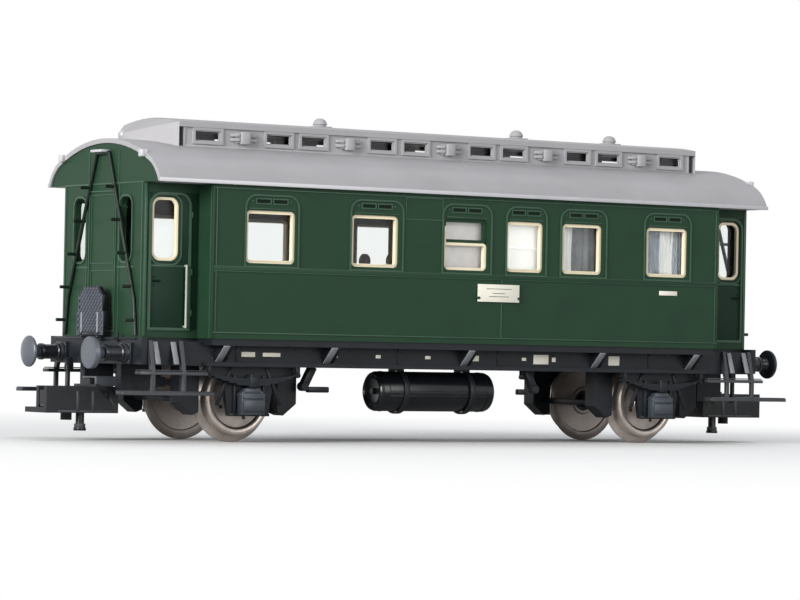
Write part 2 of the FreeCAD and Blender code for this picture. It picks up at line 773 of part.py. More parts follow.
def frame_side(sign):
    """One sole bar, a channel open outwards, with its consoles."""
    y = f"{sign} * ({WEB_INNER} + web_thickness / 2)"
    web = block("sole_web", "0", "body_length", y, "web_thickness",
                "sole_bar_bottom", "floor_level - floor_thickness / 2")
    flange = block("sole_flange", "0", "saloon_length - 2 * floor_inset",
                   f"{sign} * ({WEB_INNER} + (web_thickness + sole_flange_reach) / 2)",
                   "web_thickness + sole_flange_reach",
                   "sole_bar_bottom", "sole_bar_bottom + sole_flange_thickness")
    parts = [web, flange]
    outer = f"{sign} * (saloon_width / 2 - floor_inset)"
    for place in ("-end_console_place", "-console_pitch", "0", "console_pitch", "end_console_place"):
        corners = [
            (f"{sign} * {WEB_OUTER}", "console_bottom"),
            (outer, FLOOR_BOTTOM),
            (outer, "floor_level - floor_thickness / 2"),
            (f"{sign} * {WEB_OUTER}", "floor_level - floor_thickness / 2"),
        ]
        if sign < 0:
            corners.reverse()
        parts.append(plate("console", "YZ", corners, "console_width", place))
    return parts


def frame_end(sign):
    """One buffer beam with the boss, cheeks and spring post of its coupler."""
    beam = block("buffer_beam", f"{sign} * ({BODY_END} + beam_thickness / 2)", "beam_thickness",
                 "0", "beam_width", "beam_bottom", "floor_level")
    boss = rod("pivot_boss", "z", "pivot_boss_radius", f"{FLOOR_BOTTOM} - drawbar_top - running_gap",
               f"{sign} * pivot_place", "0",
               f"({FLOOR_BOTTOM} + drawbar_top + running_gap) / 2")
    post = block("centring_post", f"{sign} * centring_post_place", "centring_post_size",
                 "0", "2 * centring_post_size", "drawbar_bottom", FLOOR_BOTTOM)
    parts = [beam, boss, post]
    for way in (-1, 1):
        parts.append(block("cheek", f"{sign} * ({BODY_END} - cheek_length / 2)", "cheek_length",
                           f"{way} * cheek_place", "cheek_thickness", "cheek_bottom", FLOOR_BOTTOM))
    return parts


def make_gas_tank():
    """The lighting gas tank, slung under the left side, with slightly crowned ends."""
    x = "tank_place"
    y = "-tank_side_place"
    barrel = rod("tank_barrel", "x", "tank_radius", "tank_length - 2 * tank_crown", x, y, "tank_level")
    ends = rod("tank_ends", "x", "tank_end_radius", "tank_length", x, y, "tank_level")
    node("gas_tank", fuse("tank_solid", barrel, ends))
    straps = []
    for way in (-1, 1):
        place = f"tank_place + {way} * strap_spacing / 2"
        band = rod("strap_band", "x", "tank_radius + strap_thickness", "strap_width",
                   place, y, "tank_level")
        hanger = block("strap_hanger", place, "strap_width", y, "tank_radius",
                       "tank_level", FLOOR_BOTTOM)
        hollow = rod("strap_hollow", "x", "tank_radius", "strap_width + cut_margin",
                     place, y, "tank_level")
        straps.append(cut("strap", fuse("strap_blank", band, hanger), hollow))
    node("tank_straps", group("straps", *straps))


def make_steps(end):
    """Two entrance steps a side, on bent hangers from the sole bar."""
    sign = ENDS[end]
    parts = []
    outer = f"({WEB_OUTER} + step_hanger_reach)"
    inner = f"({outer} - step_hanger_thickness)"
    for place in ("step_outer_hanger_place", "step_inner_hanger_place"):
        corners = [
            (f"-{WEB_OUTER}", "floor_level - hanger_head_drop"),
            (f"-{WEB_OUTER} - hanger_head_reach", "floor_level - hanger_head_drop"),
            (f"-{outer}", "upper_step_level + step_thickness"),
            (f"-{outer}", "lower_step_level"),
            (f"-{inner}", "lower_step_level"),
            (f"-{inner}", "upper_step_level"),
            (f"-{WEB_OUTER}", "sole_bar_bottom + hanger_root_rise"),
        ]
        parts.append(plate(f"step_hanger_{end}", "YZ", corners, "step_hanger_thickness",
                           f"{sign} * {place}"))
    parts.append(block(f"upper_step_{end}", f"{sign} * (upper_step_start + upper_step_end) / 2",
                       "upper_step_end - upper_step_start",
                       f"-({outer} - upper_step_width / 2)", "upper_step_width",
                       "upper_step_level", "upper_step_level + step_thickness"))
    low_outer = f"({WEB_OUTER} + lower_step_reach)"
    parts.append(block(f"lower_step_{end}", f"{sign} * (lower_step_start + lower_step_end) / 2",
                       "lower_step_end - lower_step_start",
                       f"-({low_outer} + {inner}) / 2", f"{low_outer} - {inner}",
                       "lower_step_level", "lower_step_level + step_thickness"))
    left = fuse(f"steps_{end}_left", *parts)
    right = to_right(f"steps_{end}_right", left)
    node(f"entrance_steps_{end}", group(f"steps_{end}", left, right))


# Body shell and roof --------------------------------------------------------

def window_edges(letter, inset):
    """Left and right edges of a saloon window, drawn in by an inset."""
    place = f"window_{letter}_place"
    width = f"window_{letter}_width"
    return f"({place} - {width} / 2 + {inset})", f"({place} + {width} / 2 - {inset})"


def saloon_openings(name, inset):
    """Bars through the side walls: six windows on the left, five on the right."""
    bars = []
    for side, sign in SIDES.items():
        for letter in WINDOWS[side]:
            low, high = window_edges(letter, inset)
            outline = rounded(low, high, f"(window_sill_level + {inset})",
                              f"(window_height - 2 * {inset})", f"(window_corner - corner_share * {inset})")
            bars.append(plate(f"{name}_{side}_{letter}", "XZ", outline, "saloon_width / 2 + cut_margin",
                              f"{sign} * (saloon_width / 4 + cut_margin / 2)"))
    return fuse(name, *bars)


def door_openings(name, inset):
    """Bars through the vestibule side walls, one for each end's pair of doors."""
    bars = []
    for end, sign in ENDS.items():
        low = f"({sign} * door_place - door_window_width / 2 + {inset})"
        high = f"({sign} * door_place + door_window_width / 2 - {inset})"
        outline = rounded(low, high, f"(window_sill_level + {inset})",
                          f"(door_window_height - 2 * {inset})",
                          f"(door_window_corner - corner_share * {inset})")
        bars.append(plate(f"{name}_{end}", "XZ", outline, "vestibule_width + 2 * cut_margin", "0"))
    return fuse(name, *bars)


def end_openings():
    """Bars through both end walls for the windows beside the gangway doors."""
    bars = []
    for side, sign in SIDES.items():
        low = f"({sign} * end_window_place - end_window_width / 2)"
        high = f"({sign} * end_window_place + end_window_width / 2)"
        outline = rounded(low, high, "window_sill_level", "door_window_height", "door_window_corner")
        bars.append(plate(f"end_opening_{side}", "YZ", outline, "body_length + 2 * cut_margin", "0"))
    return fuse("end_openings", *bars)


def make_body_shell():
    """Side walls, recessed vestibules and end walls with their roof-shaped heads."""
    outer_saloon = block("outer_saloon", "0", "saloon_length", "0", "saloon_width",
                         "floor_level", "eave_level")
    outer_vestibules = block("outer_vestibules", "0", "body_length", "0", "vestibule_width",
                             "floor_level", "eave_level")
    inner_saloon = block("inner_saloon", "0", "saloon_length - 2 * side_wall",
                         "0", "saloon_width - 2 * side_wall",
                         "floor_level - cut_margin", "eave_level + cut_margin")
    inner_vestibules = block("inner_vestibules", "0", "body_length - 2 * end_wall",
                             "0", "vestibule_width - 2 * end_wall",
                             "floor_level - cut_margin", "eave_level + cut_margin")
    windows = saloon_openings("saloon_openings", "0")
    doors = door_openings("door_openings", "0")
    walls = cut("shell_walls", fuse("shell_blank", outer_saloon, outer_vestibules),
                inner_saloon, inner_vestibules, windows, doors, end_openings())
    heads = []
    for end, sign in ENDS.items():
        heads.append(plate(f"end_head_{end}", "YZ", arch("roof_thickness"), "end_wall",
                           f"{sign} * ({BODY_END} - end_wall / 2)"))
    node("body_shell", fuse("shell_solid", walls, *heads))
    rings = cut("window_rings", windows, saloon_openings("saloon_clear", "window_frame_width"))
    door_rings = cut("door_rings", doors, door_openings("door_clear", "window_frame_width"))
    return rings, door_rings


def make_window_frames(rings, door_rings):
    """Thin cream frames let into the window openings."""
    for side, sign in SIDES.items():
        y = f"{sign} * (saloon_width / 2 - window_frame_recess - window_frame_depth / 2)"
        slab = block(f"frame_slab_{side}", "0", "saloon_length", y, "window_frame_depth",
                     "floor_level", "eave_level")
        node(f"window_frames_{side}", common(f"frames_{side}", rings, slab))
    slabs = []
    for side, sign in SIDES.items():
        depth = "(end_wall - 2 * door_frame_recess)"
        y = f"{sign} * (vestibule_width / 2 - door_frame_recess - {depth} / 2)"
        slabs.append(block(f"door_slab_{side}", "0", "body_length", y, depth,
                           "floor_level", "eave_level"))
    node("door_window_frames", common("door_frames", door_rings, fuse("door_slabs", *slabs)))


def make_glazing():
    """Clear strips behind the window openings, and card blinds stuck to them."""
    top = "window_sill_level + window_height + glazing_margin"
    for side, sign in SIDES.items():
        y = f"{sign} * ({SALOON_INNER} - glazing_thickness / 2)"
        strip = block(f"strip_{side}", "0", "saloon_length - 2 * side_wall - 2 * insert_gap",
                      y, "glazing_thickness", "window_sill_level - glazing_margin", top)
        node(f"glazing_{side}", strip)
    panes = []
    for end, way in ENDS.items():
        pane_top = "window_sill_level + door_window_height + glazing_margin"
        for side, sign in SIDES.items():
            door_y = f"{sign} * (vestibule_width / 2 - end_wall - glazing_thickness / 2)"
            panes.append(block(f"door_pane_{end}_{side}", f"{way} * door_place",
                               "door_window_width + 2 * door_pane_margin", door_y, "glazing_thickness",
                               "window_sill_level - glazing_margin", pane_top))
            end_x = f"{way} * ({BODY_END} - end_wall - glazing_thickness / 2)"
            panes.append(block(f"end_pane_{end}_{side}", end_x, "glazing_thickness",
                               f"{sign} * end_window_place", "end_window_width + 2 * end_pane_margin",
                               "window_sill_level - glazing_margin", pane_top))
    node("vestibule_glazing", group("panes", *panes))
    blinds = []
    for side, sign in SIDES.items():
        y = f"{sign} * ({SALOON_INNER} - glazing_thickness - blind_thickness / 2)"
        places = [
            "window_e_place - window_e_width / 2 + blind_width / 2",
            "window_f_place - window_f_width / 2 + blind_width / 2",
            "window_f_place + window_f_width / 2 - blind_width / 2",
        ]
        for place in places:
            blinds.append(block(f"blind_{side}", place, "blind_width", y, "blind_thickness",
                                "window_sill_level - blind_drop", top))
    node("window_blinds", group("blinds", *blinds))


def make_roof():
    """The arched roof with its ceiling, clerestory walls, top and tapered noses."""
    outer = plate("roof_outer", "YZ", arch("0"), "body_length + 2 * roof_overhang", "0")
    inner = plate("roof_inner", "YZ", arch("roof_thickness"), "body_length + 4 * roof_overhang", "0")
    lantern = block("lantern_block", "0", "lantern_length", "0", "lantern_width",
                    "lantern_root_level", "lantern_wall_top")
    half = "(lantern_width / 2 + lantern_roof_overhang)"
    rise = "lantern_crown_rise"
    top_corners = [
        (f"-{half}", "lantern_wall_top"),
        (half, "lantern_wall_top"),
        (half, CROWN_LEVEL, f"({half} ^ 2 + {rise} ^ 2) / (2 * {rise})", "out"),
        (f"-{half}", CROWN_LEVEL),
    ]
    top = plate("lantern_top", "YZ", top_corners, "lantern_length + 2 * lantern_end_overhang", "0")
    noses = [make_nose("front"), make_nose("rear")]
    skin = fuse("roof_skin", outer, lantern, top, *noses)
    well = block("lantern_well", "0", "lantern_length - 2 * lantern_wall",
                 "0", "lantern_width - 2 * lantern_wall", "eave_level - cut_margin", "lantern_wall_top")
    ceiling_blank = block("ceiling_blank", "0", "body_length - 2 * end_wall",
                          "0", "roof_width - roof_thickness", "eave_level",
                          "eave_level + ceiling_thickness")
    ceiling_well = block("ceiling_well", "0", "saloon_length - 2 * side_wall",
                         "0", f"2 * {SALOON_INNER}", "eave_level - cut_margin",
                         "eave_level + ceiling_thickness + cut_margin")
    ceiling = cut("ceiling", ceiling_blank, ceiling_well)
    windows = []
    for bay in WINDOW_BAYS:
        windows.append(block(f"lantern_opening_{bay + 8}", f"{bay} * bay_pitch",
                             "lantern_window_width", "0", "lantern_width + 2 * cut_margin",
                             "lantern_window_sill", "lantern_window_sill + lantern_window_height"))
    shell = cut("roof_shell", skin, inner, well, *windows)
    node("roof", fuse("roof_solid", shell, common("ceiling_fit", ceiling, outer)))


def make_nose(end):
    """A tapered end of the clerestory, from its end wall down to a narrow tip."""
    sign = ENDS[end]
    half = "(lantern_width / 2 + lantern_roof_overhang)"
    rise = "lantern_crown_rise"
    root = [
        (f"-{half}", "lantern_root_level"),
        (half, "lantern_root_level"),
        (half, CROWN_LEVEL, f"({half} ^ 2 + {rise} ^ 2) / (2 * {rise})", "out"),
        (f"-{half}", CROWN_LEVEL),
    ]
    tip_half = "(nose_tip_width / 2)"
    tip = [
        (f"-{tip_half}", "lantern_root_level"),
        (tip_half, "lantern_root_level"),
        (tip_half, "nose_tip_level",
         f"({tip_half} ^ 2 + nose_tip_crown ^ 2) / (2 * nose_tip_crown)", "out"),
        (f"-{tip_half}", "nose_tip_level"),
    ]
    root_x = "lantern_length / 2 + lantern_end_overhang"
    sections = []
    for name, corners, x in (("root", root, root_x), ("tip", tip, f"{root_x} + nose_reach")):
        sketch = doc.addObject("Sketcher::SketchObject", f"nose_{name}_{end}")
        sketch.Placement = Placement(Vector(), Rotation(Vector(1, 1, 1), 120))
        sketch.setExpression("Placement.Base.x", formula(f"{sign} * ({x})"))
        draw_outline(sketch, corners)
        sections.append(sketch)
    nose = doc.addObject("Part::Loft", f"nose_{end}")
    nose.Sections = sections
    nose.Solid = True
    nose.Ruled = True
    return nose


def make_roof_fittings():
    """Clerestory glazing, side ventilators, top ventilators and lamp brackets."""
    strips = []
    vents = []
    for side, sign in SIDES.items():
        y = f"{sign} * (lantern_width / 2 - lantern_wall - lantern_glazing_thickness / 2)"
        strips.append(block(f"lantern_strip_{side}", "0",
                            "lantern_length - 2 * lantern_wall - 2 * insert_gap", y,
                            "lantern_glazing_thickness", "lantern_window_sill - lantern_strip_margin",
                            "lantern_wall_top"))
        for bay in VENT_BAYS:
            vents.append(side_vent(f"vent_{side}_{bay + 6}", f"{bay} * bay_pitch", sign))
    node("clerestory_glazing", group("lantern_strips", *strips))
    node("clerestory_vents", group("vents", *vents))
    domes = []
    for bay in DOME_BAYS:
        domes.append(roof_dome(f"dome_{bay + 3}", f"{bay} * bay_pitch"))
    node("roof_ventilators", group("domes", *domes))
    brackets = []
    for end, way in ENDS.items():
        x = f"{way} * ({BODY_END} + roof_overhang + lamp_bracket_reach / 2)"
        for side, sign in SIDES.items():
            low = "eave_level + shoulder_rise - lamp_bracket_drop"
            brackets.append(block(f"lamp_bracket_{end}_{side}", x, "lamp_bracket_reach",
                                  f"{sign} * lamp_bracket_place", "lamp_bracket_width",
                                  low, f"{low} + lamp_bracket_height"))
    node("lamp_brackets", group("brackets", *brackets))


def side_vent(name, x, sign):
    """A flat plate on the clerestory wall with a box-shaped hood in its middle."""
    low = "lantern_window_sill - vent_margin"
    high = "lantern_wall_top - vent_margin"
    backing = block(name + "_plate", x, "vent_width",
                    f"{sign} * (lantern_width / 2 + vent_plate_thickness / 2)",
                    "vent_plate_thickness", low, high)
    hood = block(name + "_hood", x, "vent_box_width",
                 f"{sign} * (lantern_width / 2 + vent_box_depth / 2)",
                 "vent_box_depth", f"{low} + vent_box_rise", f"{high} - vent_box_drop")
    return fuse(name, backing, hood)


def roof_dome(name, x):
    """A round ventilator on a small plate, on the clerestory's crown."""
    crown = f"({CROWN_LEVEL} + lantern_crown_rise)"
    base = block(name + "_base", x, "dome_plate_length", "0", "2 * dome_radius",
                 f"{crown} - dome_seat_depth", f"{crown} + dome_plate_thickness")
    barrel = rod(name + "_barrel", "z", "dome_radius", "dome_barrel_height",
                 x, "0", f"{crown} + dome_barrel_height / 2")
    cap = rod(name + "_cap", "z", "dome_cap_radius", "dome_height",
              x, "0", f"{crown} + dome_height / 2")
    blank = fuse(name + "_blank", base, barrel, cap)
    half = "(lantern_width / 2 + lantern_roof_overhang)"
    radius = f"({half} ^ 2 + lantern_crown_rise ^ 2) / (2 * lantern_crown_rise)"
    seat = rod(name + "_seat", "x", radius, "dome_plate_length + cut_margin",
               x, "0", f"{crown} - {radius}")
    return cut(name, blank, seat)


# Fittings on the ends and doors ---------------------------------------------

def wire(name, points, radius):
    """A round wire through a few points, as one solid with ball joints."""
    item = doc.addObject("Part::Feature", name)
    places = [Vector(*(number(text) for text in point)) for point in points]
    size = number(radius)
    shape = None
    for start, end in zip(places, places[1:]):
        length = (end - start).Length
        piece = Part.makeCylinder(size, length, start, end - start)
        shape = piece if shape is None else shape.fuse(piece)
    for place in places[1:-1]:
        shape = shape.fuse(Part.makeSphere(size, place))
    item.Shape = shape
    return item


def make_ladder():
    """The pair of bent ladder rods with their rungs, for the front end."""
    x = f"-({BODY_END} + ladder_rod_radius)"
    parts = []
    for sign in (-1, 1):
        parts.append(wire("ladder_rod", [
            (x, f"{sign} * ladder_foot_place", "ladder_foot_level"),
            (x, f"{sign} * ladder_kink_place", "ladder_kink_level"),
            (x, f"{sign} * ladder_top_place", "ladder_top_level"),
        ], "ladder_rod_radius"))
        for step in range(5):
            level = f"(rung_first_level + {step} * rung_pitch)"
            lower = "(ladder_foot_place + (ladder_kink_place - ladder_foot_place)"
            lower += f" * ({level} - ladder_foot_level) / (ladder_kink_level - ladder_foot_level))"
            upper = "(ladder_kink_place + (ladder_top_place - ladder_kink_place)"
            upper += f" * ({level} - ladder_kink_level) / (ladder_top_level - ladder_kink_level))"
            y = lower if step == 0 else upper
            parts.append(rod("rung", "x", "rung_radius", "rung_reach",
                             f"-({BODY_END} + rung_reach / 2)", f"{sign} * {y}", level))
    parts.append(rod("ladder_cross_bar", "y", "ladder_rod_radius", "2 * ladder_top_place",
                     x, "0", "ladder_top_level"))
    front = fuse("ladder_front", *parts)
    node("end_ladder_front", front)
    node("end_ladder_rear", to_rear("ladder_rear", front))


def make_handrails():
    """Four door handrails, each a rod on two short stays."""
    rails = []
    for end, way in ENDS.items():
        x = f"{way} * handrail_place"
        y = "-(vestibule_width / 2 + handrail_standoff)"
        middle = "(handrail_bottom + handrail_top) / 2"
        parts = [rod(f"rail_{end}", "z", "handrail_radius", "handrail_top - handrail_bottom",
                     x, y, middle)]
        for level in ("handrail_bottom + stay_inset", "handrail_top - stay_inset"):
            parts.append(rod(f"rail_stay_{end}", "y", "stay_radius", "handrail_standoff",
                             x, "-(vestibule_width / 2 + handrail_standoff / 2)", level))
        left = fuse(f"handrail_{end}_left", *parts)
        rails += [left, to_right(f"handrail_{end}_right", left)]
    node("door_handrails", group("handrails", *rails))


def make_gangway():
    """The fold-down gangway plates and the ears they are hinged in."""
    ears = []
    for sign in (-1, 1):
        y = f"{sign} * (hinge_knuckle_width / 2 + hinge_ear_gap + hinge_ear_width / 2)"
        eye = rod("ear_eye", "y", "hinge_knuckle_radius", "hinge_ear_width",
                  f"-{HINGE_PLACE}", y, "hinge_level")
        foot = block("ear_foot", f"-({BEAM_FACE} + {HINGE_PLACE}) / 2",
                     f"{HINGE_PLACE} - {BEAM_FACE}", y, "hinge_ear_width",
                     "hinge_level - 2 * hinge_knuckle_radius", "hinge_level + hinge_knuckle_radius / 2")
        ears += [eye, foot]
    pin = rod("hinge_pin", "y", "hinge_pin_radius",
              "hinge_knuckle_width + 2 * hinge_ear_gap + hinge_ear_width",
              f"-{HINGE_PLACE}", "0", "hinge_level")
    front = fuse("hinge_front", pin, *ears)
    node("gangway_hinges", group("hinges", front, to_rear("hinge_rear", front)))
    lower = "(gangway_width / 2)"
    upper = "(gangway_upper_width / 2)"
    corners = [
        (f"-{lower}", "gangway_lower_level"),
        (lower, "gangway_lower_level"),
        (lower, "gangway_step_level"),
        (upper, "gangway_step_level"),
        (upper, "gangway_top_level - gangway_corner"),
        (f"{upper} - gangway_corner", "gangway_top_level"),
        (f"-({upper} - gangway_corner)", "gangway_top_level"),
        (f"-{upper}", "gangway_top_level - gangway_corner"),
        (f"-{upper}", "gangway_step_level"),
        (f"-{lower}", "gangway_step_level"),
    ]
    leaf = plate("gangway_leaf", "YZ", corners, "gangway_thickness",
                 f"-({GANGWAY_BACK} + gangway_thickness / 2)")
    tongue = block("gangway_tongue", f"-({GANGWAY_BACK} + gangway_thickness / 2)",
                   "gangway_thickness", "0", "hinge_knuckle_width",
                   "hinge_level", "gangway_lower_level")
    knuckle = rod("gangway_knuckle", "y", "hinge_knuckle_radius", "hinge_knuckle_width",
                  f"-{HINGE_PLACE}", "0", "hinge_level")
    bore = rod("gangway_bore", "y", "hinge_pin_radius + running_gap", "hinge_knuckle_width + cut_margin",
               f"-{HINGE_PLACE}", "0", "hinge_level")
    plate_front = cut("gangway_front", fuse("gangway_blank", leaf, tongue, knuckle), bore)
    node("gangway_plate_front", plate_front)
    node("gangway_plate_rear", to_rear("gangway_rear", plate_front))


# Buffers and couplers ---------------------------------------------------------

def make_buffers():
    """Sprung buffers: a sleeve on the beam, a plunger that slides in it and a coil."""
    housings = []
    for end, way in ENDS.items():
        for side, sign in SIDES.items():
            y = f"{sign} * buffer_spacing / 2"
            housings.append(buffer_housing(f"{end}_{side}", way, y))
            flat = (way * sign) > 0
            node(f"buffer_plunger_{end}_{side}", buffer_plunger(f"{end}_{side}", way, y, flat))
            spring_length = f"(buffer_face - buffer_head_thickness - plunger_length - {BEAM_FACE})"
            coil = rod(f"coil_{end}_{side}", "x", "coil_outer_radius", spring_length,
                       f"{way} * ({BEAM_FACE} + {spring_length} / 2)", y, "buffer_level")
            core = rod(f"coil_core_{end}_{side}", "x", "coil_inner_radius",
                       f"{spring_length} + cut_margin",
                       f"{way} * ({BEAM_FACE} + {spring_length} / 2)", y, "buffer_level")
            node(f"buffer_spring_{end}_{side}", cut(f"coil_solid_{end}_{side}", coil, core))
    node("buffer_housings", group("housings", *housings))


def buffer_housing(name, way, y):
    flange = block("buffer_flange_" + name, f"{way} * ({BEAM_FACE} + buffer_flange_thickness / 2)",
                   "buffer_flange_thickness", y, "buffer_flange_width",
                   "buffer_level - buffer_flange_width / 2", "buffer_level + buffer_flange_width / 2")
    sleeve = rod("sleeve_" + name, "x", "sleeve_radius", "sleeve_length",
                 f"{way} * ({BEAM_FACE} + sleeve_length / 2)", y, "buffer_level")
    bore = rod("sleeve_bore_" + name, "x", "plunger_radius + running_gap",
               "sleeve_length + 2 * cut_margin",
               f"{way} * ({BEAM_FACE} + sleeve_length / 2 + cut_margin)", y, "buffer_level")
    return cut("housing_" + name, fuse("housing_blank_" + name, flange, sleeve), bore)


def buffer_plunger(name, way, y, flat):
    """A plunger with a flat or a crowned head."""
    shank_end = "(buffer_face - buffer_head_thickness)"
    shank = rod("shank_" + name, "x", "plunger_radius", "plunger_length",
                f"{way} * ({shank_end} - plunger_length / 2)", y, "buffer_level")
    if flat:
        head = rod("disc_" + name, "x", "buffer_head_radius", "buffer_head_thickness",
                   f"{way} * (buffer_face - buffer_head_thickness / 2)", y, "buffer_level")
        return fuse("plunger_" + name, shank, head)
    rim = rod("rim_" + name, "x", "buffer_head_radius", "buffer_head_thickness - buffer_dome_rise",
              f"{way} * (buffer_face - (buffer_head_thickness + buffer_dome_rise) / 2)",
              y, "buffer_level")
    radius = "(buffer_head_radius ^ 2 + buffer_dome_rise ^ 2) / (2 * buffer_dome_rise)"
    ball = doc.addObject("Part::Sphere", "crown_ball_" + name)
    ball.setExpression("Radius", formula(radius))
    ball.setExpression("Placement.Base.x", formula(f"{way} * (buffer_face - {radius})"))
    ball.setExpression("Placement.Base.y", formula(y))
    ball.setExpression("Placement.Base.z", formula("buffer_level"))
    blank = rod("crown_blank_" + name, "x", "buffer_head_radius", "buffer_head_thickness",
                f"{way} * (buffer_face - buffer_head_thickness / 2)", y, "buffer_level")
    crown = common("crown_" + name, blank, ball)
    return fuse("plunger_" + name, shank, rim, crown)


def make_couplers():
    """The front coupler's pieces, and the same pieces mirrored for the rear."""
    screw_shank = rod("screw_shank", "z", "pivot_radius", f"{FLOOR_BOTTOM} - drawbar_bottom",
                      "-pivot_place", "0", f"({FLOOR_BOTTOM} + drawbar_bottom) / 2")
    screw_head = rod("screw_head", "z", "pivot_head_radius", "pivot_head_thickness",
                     "-pivot_place", "0",
                     "drawbar_bottom - running_gap - pivot_head_thickness / 2")
    screw_neck = rod("screw_neck", "z", "pivot_radius", "2 * running_gap",
                     "-pivot_place", "0", "drawbar_bottom")
    screw = fuse("screw_front", screw_shank, screw_head, screw_neck)
    node("coupler_pivot_screws", group("screws", screw, to_rear("screw_rear", screw)))
    for name, item in (("drawbar", drawbar()), ("coupler_head", coupler_head()),
                       ("coupler_hook", coupler_hook()), ("centring_spring", centring_spring())):
        node(f"{name}_front", item)
        node(f"{name}_rear", to_rear(name + "_mirror", item))


def drawbar():
    """The swinging bar that carries the coupler head in a socket."""
    bar = block("bar", f"-({DRAWBAR_REAR} + drawbar_end) / 2", f"drawbar_end - {DRAWBAR_REAR}",
                "0", "drawbar_width", "drawbar_bottom", "drawbar_top")
    socket = block("socket", "-(drawbar_end - socket_depth / 2 + cut_margin / 2)",
                   "socket_depth + cut_margin", "0", "socket_width",
                   "drawbar_bottom + socket_wall", "drawbar_top - socket_wall")
    bore = rod("drawbar_bore", "z", "pivot_radius + running_gap", "pivot_hole_length",
               "-pivot_place", "0", "drawbar_bottom")
    return cut("drawbar_solid", bar, socket, bore)


def coupler_head():
    """The head: a plug, a neck, two cheeks, a bottom plate with a slot, and a peg."""
    plug = block("plug", "-(drawbar_end - socket_depth / 2 + fit_gap)", "socket_depth - fit_gap",
                 "0", "socket_width - 2 * fit_gap",
                 "drawbar_bottom + socket_wall + fit_gap", "drawbar_top - socket_wall - fit_gap")
    neck = block("neck", "-(drawbar_end + fit_gap + neck_thickness / 2)", "neck_thickness",
                 "0", "socket_width - 2 * fit_gap", "hook_top + hook_lift_gap",
                 "drawbar_top - socket_wall - fit_gap")
    bridge = block("bridge", "-(drawbar_end + fit_gap + neck_thickness / 2)", "neck_thickness",
                   "0", "head_width", "hook_top + hook_lift_gap", "drawbar_bottom + socket_wall")
    bottom = block("head_bottom_plate", "-(head_end + head_rear) / 2", "head_end - head_rear",
                   "0", "head_width", "head_bottom", "head_bottom + head_plate_thickness")
    parts = [plug, neck, bridge, bottom]
    for sign in (-1, 1):
        y = f"{sign} * (head_width - head_wall) / 2"
        parts.append(block("head_cheek", "-(head_end + head_rear) / 2", "head_end - head_rear",
                           y, "head_wall", "head_bottom", "drawbar_bottom - fit_gap"))
    parts.append(block("head_rear_block", "-(head_rear + head_rear_thickness / 2)",
                       "head_rear_thickness", "0", "head_width",
                       "head_bottom", "drawbar_bottom - fit_gap"))
    parts.append(rod("peg", "z", "peg_radius", "head_bottom + pin_root - peg_bottom",
                     "-peg_place", "0", "(head_bottom + pin_root + peg_bottom) / 2"))
    slot = block("slot", "-(slot_front + slot_rear) / 2", "slot_front - slot_rear",
                 "0", "slot_width", "head_bottom - cut_margin",
                 "head_bottom + head_plate_thickness + cut_margin")
    bore = rod("hook_pivot_bore", "y", "hook_pivot_radius + running_gap", "head_width + cut_margin",
               "-hook_pivot_place", "0", "hook_pivot_level")
    mouth = block("mouth", "-(head_end + hook_nose_end) / 2", "head_end - hook_nose_end + cut_skin",
                  "head_width / 2 - head_wall / 2", "head_wall + cut_skin",
                  "head_bottom + head_plate_thickness", "drawbar_bottom")
    return cut("head_solid", fuse("head_blank", *parts), slot, bore, mouth)


def coupler_hook():
    """The lifting hook with its nose, pivot stubs and trip pin."""
    rear = "(hook_pivot_place - hook_rear_reach)"
    arm = block("hook_arm", f"-({rear} + hook_nose_end) / 2", f"hook_nose_end - {rear}",
                "0", "hook_width", "hook_bottom", "hook_top")
    nose = block("hook_nose", "-(hook_nose_end - hook_nose_length / 2)", "hook_nose_length",
                 "0", "hook_width", "hook_nose_bottom", "hook_top")
    pivot = rod("hook_pivot", "y", "hook_pivot_radius", "head_width - 2 * fit_gap",
                "-hook_pivot_place", "0", "hook_pivot_level")
    pin = rod("trip_pin", "z", "trip_pin_radius", "hook_bottom + pin_root - trip_pin_bottom",
              "-trip_pin_place", "0", "(hook_bottom + pin_root + trip_pin_bottom) / 2")
    foot = rod("trip_pin_foot", "z", "trip_pin_foot_radius", "trip_pin_foot_height",
               "-trip_pin_place", "0", "trip_pin_bottom + trip_pin_foot_height / 2")
    return fuse("hook_solid", arm, nose, pivot, pin, foot)


def centring_spring():
    """The flat spring between the frame's post and the drawbar's tail."""
    front = DRAWBAR_REAR
    rear = "(centring_post_place + centring_post_size / 2)"
    return block("leaf", f"-({front} + {rear}) / 2", f"{front} - {rear}",
                 "0", "centring_leaf_thickness",
                 "drawbar_bottom + centring_leaf_inset", "drawbar_top - centring_leaf_inset")


# Interior -----------------------------------------------------------------------

